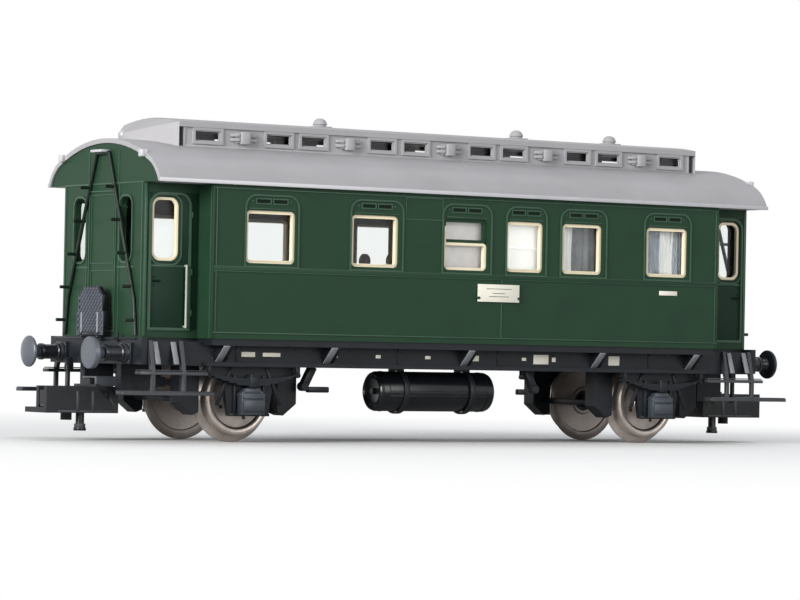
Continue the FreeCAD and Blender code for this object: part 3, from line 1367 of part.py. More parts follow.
def make_interior():
    """The ballast plate, the seat moulding over it and the compartment walls."""
    node("ballast_weight", block("ballast", "0", "ballast_length", "0", "ballast_width",
                                 "floor_level", "floor_level + ballast_thickness"))
    length = "(saloon_length - 2 * side_wall - 2 * insert_gap)"
    width = f"(2 * ({SALOON_INNER} - insert_gap))"
    tray = block("tray", "0", length, "0", width, "floor_level", TRAY_TOP)
    recess = block("tray_recess", "0", "ballast_length + 2 * running_gap",
                   "0", "ballast_width + 2 * running_gap", "floor_level - cut_margin",
                   "floor_level + ballast_thickness + running_gap")
    parts = [cut("tray_hollow", tray, recess)]
    rows = [
        (f"-({length} / 2 - seat_back_thickness / 2)", (1,)),
        ("(window_a_place + window_b_place) / 2", (-1, 1)),
        ("window_b_place + window_b_width / 2 + seat_back_thickness", (-1,)),
        ("window_e_place - window_e_width / 2 - seat_back_thickness", (1,)),
        ("(window_e_place + window_f_place) / 2", (-1, 1)),
        (f"{length} / 2 - seat_back_thickness / 2", (-1,)),
    ]
    seat_width = f"({SALOON_INNER} - seat_side_gap - aisle_width / 2)"
    for x, ways in rows:
        for sign in (-1, 1):
            y = f"{sign} * (aisle_width / 2 + {seat_width} / 2)"
            parts.append(block("seat_back", x, "seat_back_thickness", y, seat_width,
                               f"{TRAY_TOP} - seat_root", f"{TRAY_TOP} + seat_back_height"))
            for way in ways:
                parts.append(block("seat", f"{x} + {way} * seat_depth / 2", "seat_depth", y, seat_width,
                                   f"{TRAY_TOP} - seat_root", f"{TRAY_TOP} + seat_height"))
    node("seat_insert", fuse("seats", *parts))
    walls = []
    for name, x in (("first", "(window_c_place - window_c_width / 2 - partition_thickness)"),
                    ("middle", "(window_c_place + window_d_place) / 2"),
                    ("last", "(window_d_place + window_d_width / 2 + partition_thickness)")):
        walls.append(block(f"{name}_wall", x, "partition_thickness",
                           f"-(aisle_width / 2 + {seat_width} / 2)", seat_width, TRAY_TOP, "eave_level"))
    node("interior_partitions", group("partitions", *walls))


def check_document():
    """Stop with a plain message if any object failed or any sub-part is unsound."""
    for item in doc.Objects:
        if "Invalid" in item.State or "Error" in item.State:
            raise RuntimeError(f"{item.Label} did not build: {item.State}")
    for item in nodes:
        if item.Shape.isNull() or not item.Shape.isValid() or not item.Shape.Solids:
            raise RuntimeError(f"{item.Label} is not a sound solid")


def write_parts():
    os.makedirs("parts", exist_ok=True)
    for item in nodes:
        item.Shape.exportStep(f"parts/{item.Label}.step")


fill_sheet()
for end_name in ENDS:
    make_wheelset(end_name)
    make_axle_guards(end_name)
    make_steps(end_name)
make_axle_boxes()
make_leaf_springs()
make_brakes()
make_underframe()
make_gas_tank()
rings_side, rings_door = make_body_shell()
make_window_frames(rings_side, rings_door)
make_glazing()
make_roof()
make_roof_fittings()
make_ladder()
make_handrails()
make_gangway()
make_buffers()
make_couplers()
make_interior()
doc.recompute()
check_document()
write_parts()
print(len(nodes), "sub-parts written")
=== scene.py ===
import bmesh
import bpy
import math
from mathutils import Matrix, Vector


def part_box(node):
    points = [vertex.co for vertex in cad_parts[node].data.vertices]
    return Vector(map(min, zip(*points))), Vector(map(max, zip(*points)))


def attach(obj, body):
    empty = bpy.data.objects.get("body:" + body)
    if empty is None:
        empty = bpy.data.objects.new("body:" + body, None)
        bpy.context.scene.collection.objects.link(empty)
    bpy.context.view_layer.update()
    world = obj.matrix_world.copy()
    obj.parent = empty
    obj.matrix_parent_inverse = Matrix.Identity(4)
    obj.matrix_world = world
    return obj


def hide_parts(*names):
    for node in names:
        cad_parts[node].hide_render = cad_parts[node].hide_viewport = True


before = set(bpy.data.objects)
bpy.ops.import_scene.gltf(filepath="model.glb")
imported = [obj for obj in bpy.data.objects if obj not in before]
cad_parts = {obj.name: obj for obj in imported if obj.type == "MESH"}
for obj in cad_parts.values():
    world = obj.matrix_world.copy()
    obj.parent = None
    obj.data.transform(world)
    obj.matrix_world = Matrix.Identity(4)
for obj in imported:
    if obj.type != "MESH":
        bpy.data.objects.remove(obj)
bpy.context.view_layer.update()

# Stage: the coach stands alone on a plain pale table, in soft light from the front left. The
# camera looks along its left side from near rail height, well back, with a long lens.
# Sizes in this file are millimetres, and each finished mesh is scaled to metres.
MM = 0.001
CAMERA_PLACE = Vector((-316.07, -473.39, 14.44))
CAMERA_TURN = -33.463
CAMERA_PITCH = 90.803
CAMERA_ROLL = 1.097
CAMERA_LENS = 160.65


def rotation(degrees, axis):
    """A rotation about an axis."""
    return Matrix.Rotation(math.radians(degrees), 4, axis)


eye = bpy.data.objects.new("camera", bpy.data.cameras.new("camera"))
eye.data.lens = CAMERA_LENS
eye.data.clip_start = 0.01
eye.data.clip_end = 20
eye.matrix_world = (
    Matrix.Translation(CAMERA_PLACE * MM)
    @ rotation(CAMERA_TURN, "Z")
    @ rotation(CAMERA_PITCH, "X")
    @ rotation(CAMERA_ROLL, "Z")
)
bpy.context.scene.collection.objects.link(eye)
bpy.context.scene.camera = eye
bpy.context.scene.view_settings.view_transform = "Standard"


def material(name):
    """A new material with its node tree, its shader and its shader's sockets."""
    made = bpy.data.materials.new(name)
    made.use_nodes = True
    shader = made.node_tree.nodes["Principled BSDF"]
    return made, made.node_tree, shader


def join(tree, source, output, target, socket):
    """Link an output of one node to a socket of another."""
    tree.links.new(target.inputs[socket], source.outputs[output])


def node(tree, kind, values=None, **settings):
    """A new shader node with its settings and the values of its sockets."""
    made = tree.nodes.new("ShaderNode" + kind)
    for name, value in settings.items():
        setattr(made, name, value)
    for socket, value in (values or {}).items():
        made.inputs[socket].default_value = value
    return made


# White where the camera, glass or metal sees past the table, soft pale grey for lighting.
SKY_GREY = (0.93, 0.96, 1.0, 1)
SKY_STRENGTH = 0.42
surround = bpy.data.worlds.new("surround")
surround.use_nodes = True
bpy.context.scene.world = surround
tree = surround.node_tree
lighting = tree.nodes["Background"]
lighting.inputs["Color"].default_value = SKY_GREY
lighting.inputs["Strength"].default_value = SKY_STRENGTH
plain = node(tree, "Background", {"Color": (1, 1, 1, 1)})
path = node(tree, "LightPath")
either = node(tree, "Math", operation="MAXIMUM")
any_of = node(tree, "Math", operation="MAXIMUM")
mix = node(tree, "MixShader")
join(tree, path, "Is Camera Ray", either, 0)
join(tree, path, "Is Glossy Ray", either, 1)
join(tree, either, 0, any_of, 0)
join(tree, path, "Is Transmission Ray", any_of, 1)
join(tree, any_of, 0, mix, "Fac")
join(tree, lighting, 0, mix, 1)
join(tree, plain, 0, mix, 2)
join(tree, mix, 0, tree.nodes["World Output"], "Surface")

# The table top is pale to the camera, greyer in the light it throws back, and fades to plain
# white away from the coach.
TABLE_HALF = 6
TABLE_SEEN = (0.93, 0.93, 0.93, 1)
TABLE_BOUNCE = (0.42, 0.42, 0.41, 1)
FADE_START, FADE_END = 0.07, 0.2
table_form = bmesh.new()
bmesh.ops.create_grid(table_form, x_segments=1, y_segments=1, size=TABLE_HALF)
table_mesh = bpy.data.meshes.new("table")
table_form.to_mesh(table_mesh)
table_form.free()
table = bpy.data.objects.new("table", table_mesh)
bpy.context.scene.collection.objects.link(table)
table_paint, tree, shader = material("table_white")
shader.inputs["Roughness"].default_value = 0.9
shader.inputs["Specular IOR Level"].default_value = 0.1
seen = node(tree, "LightPath")
tone = node(tree, "Mix", {6: TABLE_BOUNCE, 7: TABLE_SEEN}, data_type="RGBA")
join(tree, seen, "Is Camera Ray", tone, 0)
join(tree, tone, 2, shader, "Base Color")
spot = node(tree, "TexCoord")
reach = node(tree, "VectorMath", operation="LENGTH")
faded = node(tree, "MapRange", {"From Min": FADE_START, "From Max": FADE_END})
bare_white = node(tree, "Emission")
blend = node(tree, "MixShader")
far_seen = node(tree, "Math", operation="MULTIPLY")
not_lighting = node(tree, "Math", {0: 1}, operation="SUBTRACT")
join(tree, seen, "Is Diffuse Ray", not_lighting, 1)
join(tree, spot, "Object", reach, 0)
join(tree, reach, "Value", faded, "Value")
join(tree, faded, "Result", far_seen, 0)
join(tree, not_lighting, 0, far_seen, 1)
join(tree, far_seen, 0, blend, "Fac")
join(tree, shader, 0, blend, 1)
join(tree, bare_white, 0, blend, 2)
join(tree, blend, 0, tree.nodes["Material Output"], "Surface")
table_mesh.materials.append(table_paint)


def lamp(name, place, aim, size, watts, colour):
    """A square soft light that points at a place."""
    made = bpy.data.objects.new(name, bpy.data.lights.new(name, "AREA"))
    made.data.size = size
    made.data.energy = watts
    made.data.color = colour
    made.location = place
    made.rotation_euler = (Vector(aim) - Vector(place)).to_track_quat("-Z", "Y").to_euler()
    bpy.context.scene.collection.objects.link(made)


KEY_WATTS, SIDE_WATTS, TOP_WATTS = 20.5, 4.8, 2.2
BODY_AIM, ROOF_AIM = (0, 0, 0.02), (0, 0, 0.04)
lamp("key_light", (-1.15, -0.42, 0.32), BODY_AIM, 0.5, KEY_WATTS, (1, 0.985, 0.96))
lamp("side_light", (0.15, -1.2, 0.3), BODY_AIM, 0.6, SIDE_WATTS, (1, 0.99, 0.98))
lamp("top_light", (0.35, 0.25, 1.0), ROOF_AIM, 0.6, TOP_WATTS, (0.96, 0.98, 1))


# Underframe: the floor, sole bars, buffer beams and consoles in one black plastic moulding.
# Rivet heads and joint strips are moulded on the sole bars, and blank builder's plates are
# printed on them. Grey strips on the consoles' slanted faces are a painted highlight.
CLOUD_LOW, CLOUD_HIGH = 0.3, 0.7
GLOSS_SPREAD = 0.07
RUB_START, RUB_END = 0.58, 0.72


def coating(name, colour, roughness, shade=0.12, patch=260, grain=5200, relief=0.02,
            metallic=0.0, worn=0.0, shine=0.5):
    """A painted or moulded finish: clouded colour, uneven gloss and a fine grain."""
    made, tree, shader = material(name)
    shader.inputs["Metallic"].default_value = metallic
    shader.inputs["Specular IOR Level"].default_value = shine
    place = node(tree, "TexCoord")
    clouds = node(tree, "TexNoise", {"Scale": patch, "Detail": 5, "Roughness": 0.6})
    speckle = node(tree, "TexNoise", {"Scale": grain, "Detail": 3})
    join(tree, place, "Object", clouds, "Vector")
    join(tree, place, "Object", speckle, "Vector")
    tint = node(tree, "ValToRGB")
    dark, light = tint.color_ramp.elements
    dark.position, light.position = CLOUD_LOW, CLOUD_HIGH
    dark.color = (*(part * (1 - shade) for part in colour), 1)
    light.color = (*(min(part * (1 + shade), 1) for part in colour), 1)
    join(tree, clouds, "Fac", tint, "Fac")
    painted, output = tint, "Color"
    if worn:
        rubbed = (*(min(part * 1.6 + 0.03, 1) for part in colour), 1)
        rub = node(tree, "MapRange", {"From Min": RUB_START, "From Max": RUB_END, "To Max": worn})
        bare = node(tree, "Mix", {7: rubbed}, data_type="RGBA")
        join(tree, speckle, "Fac", rub, "Value")
        join(tree, rub, "Result", bare, 0)
        join(tree, tint, "Color", bare, 6)
        painted, output = bare, 2
    join(tree, painted, output, shader, "Base Color")
    gloss = node(tree, "MapRange", {"From Min": CLOUD_LOW, "From Max": CLOUD_HIGH,
                                    "To Min": roughness - GLOSS_SPREAD,
                                    "To Max": roughness + GLOSS_SPREAD})
    join(tree, clouds, "Fac", gloss, "Value")
    join(tree, gloss, "Result", shader, "Roughness")
    bump = node(tree, "Bump", {"Strength": 0.5, "Distance": relief * MM})
    join(tree, speckle, "Fac", bump, "Height")
    join(tree, bump, "Normal", shader, "Normal")
    return made


WELD_REACH = 0.002
SHARP_ANGLE = math.radians(35)


def paint_node(name, paint, eased=0.0):
    """Give a CAD node its finish and, where it is moulded, edges that are a little round."""
    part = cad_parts[name]
    part.data.materials.clear()
    part.data.materials.append(paint)
    if eased:
        part.data.shade_smooth()
        weld = part.modifiers.new("weld", "WELD")
        weld.merge_threshold = WELD_REACH * MM
        ease = part.modifiers.new("eased_edges", "BEVEL")
        ease.width = eased * MM
        ease.segments = 2
        ease.limit_method = "ANGLE"
        ease.angle_limit = SHARP_ANGLE
        flats = part.modifiers.new("flat_faces", "WEIGHTED_NORMAL")
        flats.keep_sharp = True


def span(name):
    """Lowest and highest corner of a CAD node, in millimetres."""
    low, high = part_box(name)
    return low / MM, high / MM


def bar(form, low, high, eased=0.0, turn=None):
    """A bar or plate between two corners, its edges eased, turned about its middle."""
    low, high = Vector(low), Vector(high)
    middle = Matrix.Translation((low + high) / 2)
    shape = middle @ (turn or Matrix()) @ Matrix.Diagonal((*(high - low), 1))
    made = bmesh.ops.create_cube(form, size=1, matrix=shape)["verts"]
    if eased:
        edges = list({edge for vertex in made for edge in vertex.link_edges})
        bmesh.ops.bevel(form, geom=edges, offset=eased, segments=2, profile=0.5,
                        affect="EDGES", material=-1, clamp_overlap=True)


def absorb(form, part):
    """Add a finished shape to a form, and free it."""
    mesh = bpy.data.meshes.new("part")
    part.to_mesh(mesh)
    part.free()
    form.from_mesh(mesh)
    bpy.data.meshes.remove(mesh)


def strip(form, wall, low, high, proud, eased=0.0, sunk=0.05):
    """A flat strip on a wall at a place along Y, between two corners in XZ."""
    bar(form, (low[0], wall - proud, low[1]), (high[0], wall + sunk, high[1]), eased)


def turned(form, outline, place, axis="X", steps=40):
    """A round piece, spun from its outline of (radius, distance along the axis)."""
    lathe = bmesh.new()
    corners = [lathe.verts.new((radius, 0, along)) for radius, along in outline]
    lines = [lathe.edges.new(pair) for pair in zip(corners, corners[1:])]
    bmesh.ops.spin(lathe, geom=corners + lines, cent=(0, 0, 0), axis=(0, 0, 1),
                   angle=math.tau, steps=steps, use_merge=True)
    bmesh.ops.remove_doubles(lathe, verts=lathe.verts, dist=0.0005)
    bmesh.ops.recalc_face_normals(lathe, faces=lathe.faces)
    upright = {"X": rotation(90, "Y"),
               "Y": rotation(-90, "X"), "Z": Matrix()}[axis]
    bmesh.ops.transform(lathe, matrix=Matrix.Translation(place) @ upright, verts=lathe.verts)
    absorb(form, lathe)


def rivet(form, place, radius, axis="Y"):
    """A low domed rivet head."""
    way = 1 if axis == "Z" else -1
    turned(form, [(0, way * radius * 0.6), (radius * 0.6, way * radius * 0.45),
                  (radius, 0), (0, 0)], place, axis, 8)


def mirrored(form, *axes):
    """Add the same shapes on the other side, once for each axis."""
    for axis in axes:
        bmesh.ops.mirror(form, geom=form.verts[:] + form.edges[:] + form.faces[:],
                         axis=axis, merge_dist=0)


def piece(name, form, paint, body, crease=35):
    """Finish a form as a named piece that rides on a body."""
    bmesh.ops.recalc_face_normals(form, faces=form.faces)
    bmesh.ops.scale(form, vec=(MM, MM, MM), verts=form.verts)
    mesh = bpy.data.meshes.new(name)
    form.to_mesh(mesh)
    form.free()
    mesh.materials.append(paint)
    mesh.shade_smooth()
    mesh.set_sharp_from_angle(angle=math.radians(crease))
    made = bpy.data.objects.new(name, mesh)
    bpy.context.scene.collection.objects.link(made)
    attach(made, body)
    return made


frame_black = coating("frame_black", (0.011, 0.0135, 0.017), 0.36, shade=0.2, worn=0.25,
                      shine=0.2)
strut_grey = coating("strut_grey", (0.19, 0.2, 0.215), 0.4, shade=0.2, shine=0.4)
plate_cream = coating("plate_cream", (0.72, 0.70, 0.61), 0.5, shade=0.05)
paint_node("underframe", frame_black, 0.09)
frame_high = span("underframe")[1]
WEB_FACE = -13.9
CONSOLES = (-44.3, -25.3, 0, 25.3, 44.3)
RIVET_PITCH = 3.2
RIVET_DROP = 1.45
RIVET_RADIUS = 0.16
form = bmesh.new()
for step in range(-14, 15):
    rivet(form, (step * RIVET_PITCH + 0.9, WEB_FACE, frame_high.z - RIVET_DROP), RIVET_RADIUS)
for joint in (-41.6, -12.6, 6.2, 36.0):
    strip(form, WEB_FACE, (joint - 0.12, 12.2), (joint + 0.12, 14.55), 0.12, 0.04, 0)
for rise in (12.6, 13.9):
    for console in CONSOLES:
        for way in (-1.25, 1.25):
            rivet(form, (console + way, WEB_FACE, rise), RIVET_RADIUS)
mirrored(form, "Y")
piece("frame_rivets", form, frame_black, "coach")

PLATE_LEVEL = 13.35
form = bmesh.new()
for place, width, height in ((-39.5, 2.4, 0.75), (-35.4, 3.1, 0.6), (-24.1, 1.0, 0.5),
                             (-16.2, 0.9, 0.5), (-7.0, 1.0, 0.5), (1.9, 1.4, 0.9),
                             (11.3, 0.8, 0.5), (14.6, 2.9, 1.5), (17.1, 0.7, 0.7),
                             (29.0, 2.2, 1.5)):
    strip(form, WEB_FACE, (place - width / 2, PLATE_LEVEL - height / 2),
          (place + width / 2, PLATE_LEVEL + height / 2), 0.07, 0.03)
mirrored(form, "Y")
piece("frame_plates", form, plate_cream, "coach")

# Grey strips laid on the consoles' slanted faces: a painted highlight for the light they catch.
CONSOLE_LEAN = rotation(47, "X")
form = bmesh.new()
for console in CONSOLES:
    bar(form, (console - 0.95, -15.37, 11.62), (console + 0.15, -15.15, 15.1), 0.06, CONSOLE_LEAN)
mirrored(form, "Y")
piece("console_highlight_strips", form, strut_grey, "coach")

# Buffer beams: flat black plates across both ends, part of the frame's moulding, with rivet
# rows, a rigid heating pipe stub that hangs below and a lamp iron.
BEAM_FACE = -frame_high.x
BEAM_RIVET = 0.17
PIPE_ACROSS = 7.5
form = bmesh.new()
for across in (-5.4, -2.4, 2.4, 5.4, 7.6, 12.2):
    for level in (12.1, 15.1):
        rivet(form, (BEAM_FACE, across, level), BEAM_RIVET, "X")
bar(form, (BEAM_FACE - 0.2, -12.6, 15.2), (BEAM_FACE + 0.1, 12.6, 15.55), 0.06)
bar(form, (BEAM_FACE - 0.9, PIPE_ACROSS - 0.5, 10.6),
    (BEAM_FACE + 0.2, PIPE_ACROSS + 0.5, 12.4), 0.1)
turned(form, [(0, 6.7), (0.42, 6.7), (0.5, 6.9), (0.5, 7.5), (0.38, 7.7), (0.38, 10.4),
              (0.55, 10.5), (0.55, 11.2), (0.3, 11.4), (0, 11.4)],
       (BEAM_FACE - 0.55, PIPE_ACROSS, 0), "Z", 20)
bar(form, (BEAM_FACE - 0.35, -7.4, 14.9), (BEAM_FACE, -6.9, 16.3), 0.06)
bar(form, (BEAM_FACE - 0.9, -7.4, 15.3), (BEAM_FACE - 0.3, -6.9, 15.5), 0.05)
copied = bmesh.ops.duplicate(form, geom=form.verts[:] + form.edges[:] + form.faces[:])["geom"]
bmesh.ops.rotate(form, verts=[item for item in copied if isinstance(item, bmesh.types.BMVert)],
                 cent=(0, 0, 0), matrix=Matrix.Rotation(math.pi, 3, "Z"))
piece("beam_fittings", form, frame_black, "coach")

# Wheels: turned, nickel-plated discs with a flange, a tread, a groove inside the rim and four
# small holes, whose near-black rings and dots are painted shade. They are pressed on steel
# axles, one of each pair on a plastic bush.
wheel_nickel = coating("wheel_nickel", (0.46, 0.405, 0.375), 0.33, shade=0.18, patch=420,
                       grain=3000, relief=0.01, metallic=0.6)
axle_steel = coating("axle_steel", (0.22, 0.22, 0.23), 0.35, metallic=0.9)
bush_plastic = coating("bush_plastic", (0.03, 0.03, 0.032), 0.4)
groove_shade_black = coating("groove_shade_black", (0.012, 0.011, 0.011), 0.5)
WHEEL_HOLES, HOLE_CIRCLE, HOLE_START = 4, 3.1, 0.4
for end in ("front", "rear"):
    paint_node(f"axle_{end}", axle_steel, 0.05)
    paint_node(f"axle_bush_{end}", bush_plastic, 0.04)
    for side, hub in (("left", 1.0), ("right", 1.7)):
        low, high = span(f"wheel_{end}_{side}")
        middle = (low + high) / 2
        way = 1 if side == "left" else -1
        face = low.y if side == "left" else high.y
        outline = [(hub, 0.05), (2.0, 0.05), (2.15, 0.3), (3.8, 0.42), (4.3, 0.5), (4.36, 0.85),
                   (4.58, 0.85), (4.62, 0.08), (4.72, 0), (5.38, 0), (5.5, 0.1), (5.52, 1.9),
                   (5.8, 1.97), (6.35, 2.15), (6.57, 2.32), (6.6, 2.45), (6.52, 2.63), (6.35, 2.7),
                   (5.3, 2.7), (5.1, 2.5), (2.3, 2.45), (2.1, 2.7), (hub, 2.7), (hub, 0.05)]
        form = bmesh.new()
        turned(form, [(radius, way * along) for radius, along in outline],
               (middle.x, face, middle.z), "Y", 72)
        wheel = piece(f"turned_wheel_{end}_{side}", form, wheel_nickel, f"wheelset_{end}",
                      40)
        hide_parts(f"wheel_{end}_{side}")
        # Near-black rings in the groove and dots for the holes: painted shade for their depth.
        form = bmesh.new()
        turned(form, [(4.37, way * 0.6), (4.37, way * 0.86), (4.575, way * 0.86),
                      (4.575, way * 0.3), (4.5, way * 0.3), (4.37, way * 0.6)],
               (middle.x, face, middle.z), "Y", 72)
        for hole in range(WHEEL_HOLES):
            angle = hole * math.tau / WHEEL_HOLES + HOLE_START
            spot = Vector((math.cos(angle), 0, math.sin(angle))) * HOLE_CIRCLE
            turned(form, [(0, way * 0.3), (0.28, way * 0.3), (0.3, way * 0.5), (0, way * 0.5)],
                   Vector((middle.x, face, middle.z)) + spot, "Y", 12)
        piece(f"wheel_groove_{end}_{side}", form, groove_shade_black, f"wheelset_{end}")

# Axle guards: W-shaped plates that hang from the frame and hold the boxes, moulded in black
# plastic with raised horn guides, rivets and slanted stays.
for end in ("front", "rear"):
    paint_node(f"axle_guards_{end}", frame_black, 0.08)
guard_low, guard_high = span("axle_guards_front")
axle_x = (guard_low.x + guard_high.x) / 2
guard_face = guard_low.y
GUIDE_RIVET = 0.14
form = bmesh.new()
for way in (-1, 1):
    guide, stay = axle_x + way * 2.55, axle_x + way * 4.35
    strip(form, guard_face, (guide - 0.25, 4.1), (guide + 0.25, 10.2), 0.35, 0.07)
    bar(form, (stay - 0.28, guard_face - 0.22, 5.4), (stay + 0.28, guard_face + 0.05, 11.6), 0.07,
        rotation(way * -24, "Y"))
    for level in (4.6, 6.4, 8.2, 9.8):
        rivet(form, (axle_x + way * 3.2, guard_face, level), GUIDE_RIVET)
strip(form, guard_face, (axle_x - 3.6, 4.05), (axle_x + 3.6, 4.5), 0.3, 0.07)
mirrored(form, "Y", "X")
piece("horn_guides", form, frame_black, "coach")

# Axle boxes: grease boxes in dark grey plastic with sloped shoulders and a lid that has a
# groove across it and a screw above. They sit in the guards and hold the axle's points.
box_grey = coating("box_grey", (0.035, 0.043, 0.055), 0.34, shade=0.15, worn=0.2, shine=0.4)
box_face = span("axle_boxes")[0].y
form = bmesh.new()
bar(form, (axle_x - 2.05, box_face + 0.35, 4.25), (axle_x + 2.05, box_face + 1.9, 7.5), 0.12)
bar(form, (axle_x - 1.45, box_face + 0.5, 7.3), (axle_x + 1.45, box_face + 1.9, 8.32), 0.3)
for way in (-1, 1):
    shoulder = axle_x + way * 1.6
    bar(form, (shoulder - 0.55, box_face + 0.6, 7.0), (shoulder + 0.55, box_face + 1.9, 7.75), 0.1,
        rotation(way * 38, "Y"))
bar(form, (axle_x - 1.85, box_face + 0.02, 4.8), (axle_x + 1.85, box_face + 0.5, 6.5), 0.12)
bar(form, (axle_x - 1.85, box_face + 0.1, 6.65), (axle_x + 1.85, box_face + 0.5, 7.2), 0.1)
turned(form, [(0, -0.02), (0.22, -0.02), (0.3, 0.05), (0.3, 0.2), (0, 0.2)],
       (axle_x, box_face + 0.1, 6.9), "Y", 12)
mirrored(form, "Y", "X")
boxes = piece("grease_boxes", form, box_grey, "coach")
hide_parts("axle_boxes")

# Leaf springs: five curved leaves under a buckle, moulded in black plastic with the eyes and
# shackles that hang them from the sole bar.
form = bmesh.new()
leaf_y = span("leaf_springs")[0].y + 0.7
ARC_RADIUS = 46.0
LEAF_LEVEL = 9.72
LEAF_STEP = 0.21
LEAF_THICK = 0.2
LEAF_HALF_WIDTH = 0.62
for leaf, half in enumerate((8.0, 6.8, 5.5, 4.2, 2.9)):
    radius = ARC_RADIUS + leaf * LEAF_STEP
    low_z = LEAF_LEVEL - leaf * LEAF_STEP
    sweep = math.asin(half / radius)
    blade = bmesh.new()
    bar(blade, (-0.001, leaf_y - LEAF_HALF_WIDTH, low_z - LEAF_THICK),
        (0, leaf_y + LEAF_HALF_WIDTH, low_z))
    blade.normal_update()
    backs = [face for face in blade.faces if face.normal.x <= 0.9]
    bmesh.ops.delete(blade, geom=backs, context="FACES")
    centre = Vector((0, leaf_y, low_z + radius))
    bmesh.ops.rotate(blade, verts=blade.verts, cent=centre,
                     matrix=Matrix.Rotation(sweep, 3, "Y"))
    bmesh.ops.spin(blade, geom=blade.faces[:], cent=centre, axis=(0, 1, 0),
                   angle=-2 * sweep, steps=14)
    bmesh.ops.translate(blade, verts=blade.verts, vec=(axle_x, 0, 0))
    absorb(form, blade)
for way in (-1, 1):
    eye_x = axle_x + way * 7.75
    turned(form, [(0, -0.75), (0.42, -0.75), (0.42, 0.75), (0, 0.75)],
           (eye_x, leaf_y, 10.3), "Y", 16)
    for across in (-0.72, 0.72):
        bar(form, (eye_x - 0.28, leaf_y + across - 0.1, 10.1),
            (eye_x + 0.28, leaf_y + across + 0.1, 12.0), 0.05)
bar(form, (axle_x - 0.75, leaf_y - 0.78, 8.35), (axle_x + 0.75, leaf_y + 0.78, 10.05), 0.12)
turned(form, [(0, 10.0), (0.3, 10.0), (0.3, 10.3), (0.2, 10.45), (0, 10.45)],
       (axle_x, leaf_y, 0), "Z", 12)
mirrored(form, "Y", "X")
springs = piece("spring_leaves", form, frame_black, "coach")
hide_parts("leaf_springs")

# Brakes: black plastic hangers with their blocks beside each wheel, cross beams joined by a
# short rod under each axle, and two cranks that stand below the frame. None of it moves.
paint_node("brake_blocks", frame_black, 0.09)
form = bmesh.new()
for place, way in ((-27.4, 1), (14.0, -1)):
    lean = rotation(28 * way, "Y")
    bar(form, (place - 0.6, -12.2, 8.6), (place + 0.6, -11.0, 11.8), 0.12, lean)
    bar(form, (place + way * 0.2 - 0.5, -12.3, 7.7), (place + way * 3.0 + 0.5, -11.3, 8.6), 0.2)
    turned(form, [(0, -0.75), (0.6, -0.75), (0.7, -0.6), (0.7, 0.6), (0.6, 0.75), (0, 0.75)],
           (place - way * 0.9, -11.6, 8.6), "Y", 18)
AXLE_PLACE = 38.9
BEAM_REACH = 8
for end in (-1, 1):
    for beam in (end * AXLE_PLACE - BEAM_REACH, end * AXLE_PLACE + BEAM_REACH):
        bar(form, (beam - 0.45, -7.1, 6.05), (beam + 0.45, 7.1, 6.95), 0.12)
    bar(form, (end * AXLE_PLACE - BEAM_REACH, -0.45, 6.1),
        (end * AXLE_PLACE + BEAM_REACH, 0.45, 6.9), 0.12)
rigging = piece("brake_cranks", form, frame_black, "coach")
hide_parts("brake_rigging")

# Gas tank: a drum in glossy black plastic with dished ends, end hoops and a seam, held under
# the frame by two straps.
tank_black = coating("tank_black", (0.0055, 0.007, 0.009), 0.24, shade=0.2, relief=0.008,
                     shine=0.35)
low, high = span("gas_tank")
half = (high.x - low.x) / 2 + 0.55
middle = (low + high) / 2
radius = (high.z - low.z) / 2 - 0.1
form = bmesh.new()
turned(form, [(0, -half + 0.45), (1.6, -half + 0.4), (2.0, -half + 0.25), (2.3, -half + 0.35),
              (2.6, -half + 0.1), (radius - 0.15, -half + 0.35), (radius, -half + 0.75),
              (radius, half - 0.75), (radius - 0.15, half - 0.35), (2.6, half - 0.1),
              (2.0, half), (0, half)], middle, "X", 64)
HOOP_INSET = 1.6
for along in (-half + HOOP_INSET, half - HOOP_INSET):
    turned(form, [(radius - 0.05, along - 0.12), (radius + 0.06, along - 0.06),
                  (radius + 0.06, along + 0.06), (radius - 0.05, along + 0.12)], middle, "X", 64)
for rise in (-0.75, 0.05):
    seam = middle.z + rise
    bar(form, (low.x + 1.0, low.y + 0.03, seam), (high.x - 1.0, low.y + 0.35, seam + 0.14), 0.05)
turned(form, [(0, -0.5), (0.45, -0.5), (0.45, -0.1), (0.7, 0), (0.7, 0.3), (0, 0.3)],
       (low.x, middle.y, middle.z), "X", 16)
tank = piece("drum_tank", form, tank_black, "coach")
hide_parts("gas_tank")
paint_node("tank_straps", frame_black, 0.06)

# Entrance steps: two treads a side on bent hangers, moulded in black plastic, with planks on
# top. Short pale-edged struts lean out from the sole bar beside them.
step_black = coating("step_black", (0.03, 0.034, 0.04), 0.34, shade=0.2, worn=0.5, shine=0.4)
for end in ("front", "rear"):
    paint_node(f"entrance_steps_{end}", step_black, 0.07)
PLANK_HALF, PLANK_THICK = 0.22, 0.16
HANGER_LEAN = 0.28
STRUT_LEAN = rotation(-20, "X")
form = bmesh.new()
for edges, left, right, top in (((-14.95, -14.4, -13.85), -58.6, -47.3, 10.84),
                                ((-16.5, -15.9, -15.3, -14.7), -62.4, -47.1, 7.74)):
    for edge in edges:
        bar(form, (left, edge - PLANK_HALF, top - PLANK_THICK),
            (right, edge + PLANK_HALF, top), 0.05)
for hanger in (-56.5, -51.3):
    for level in (11.2, 13.6):
        rivet(form, (hanger, -13.35 - (15 - level) * HANGER_LEAN, level), RIVET_RADIUS)
mirrored(form, "Y", "X")
piece("step_boards", form, step_black, "coach")
form = bmesh.new()
for strut in (-55.6, -52.5):
    bar(form, (strut - 0.42, -14.65, 11.55), (strut + 0.42, -14.4, 15.1), 0.08, STRUT_LEAN)
mirrored(form, "Y", "X")
piece("step_struts", form, strut_grey, "coach")

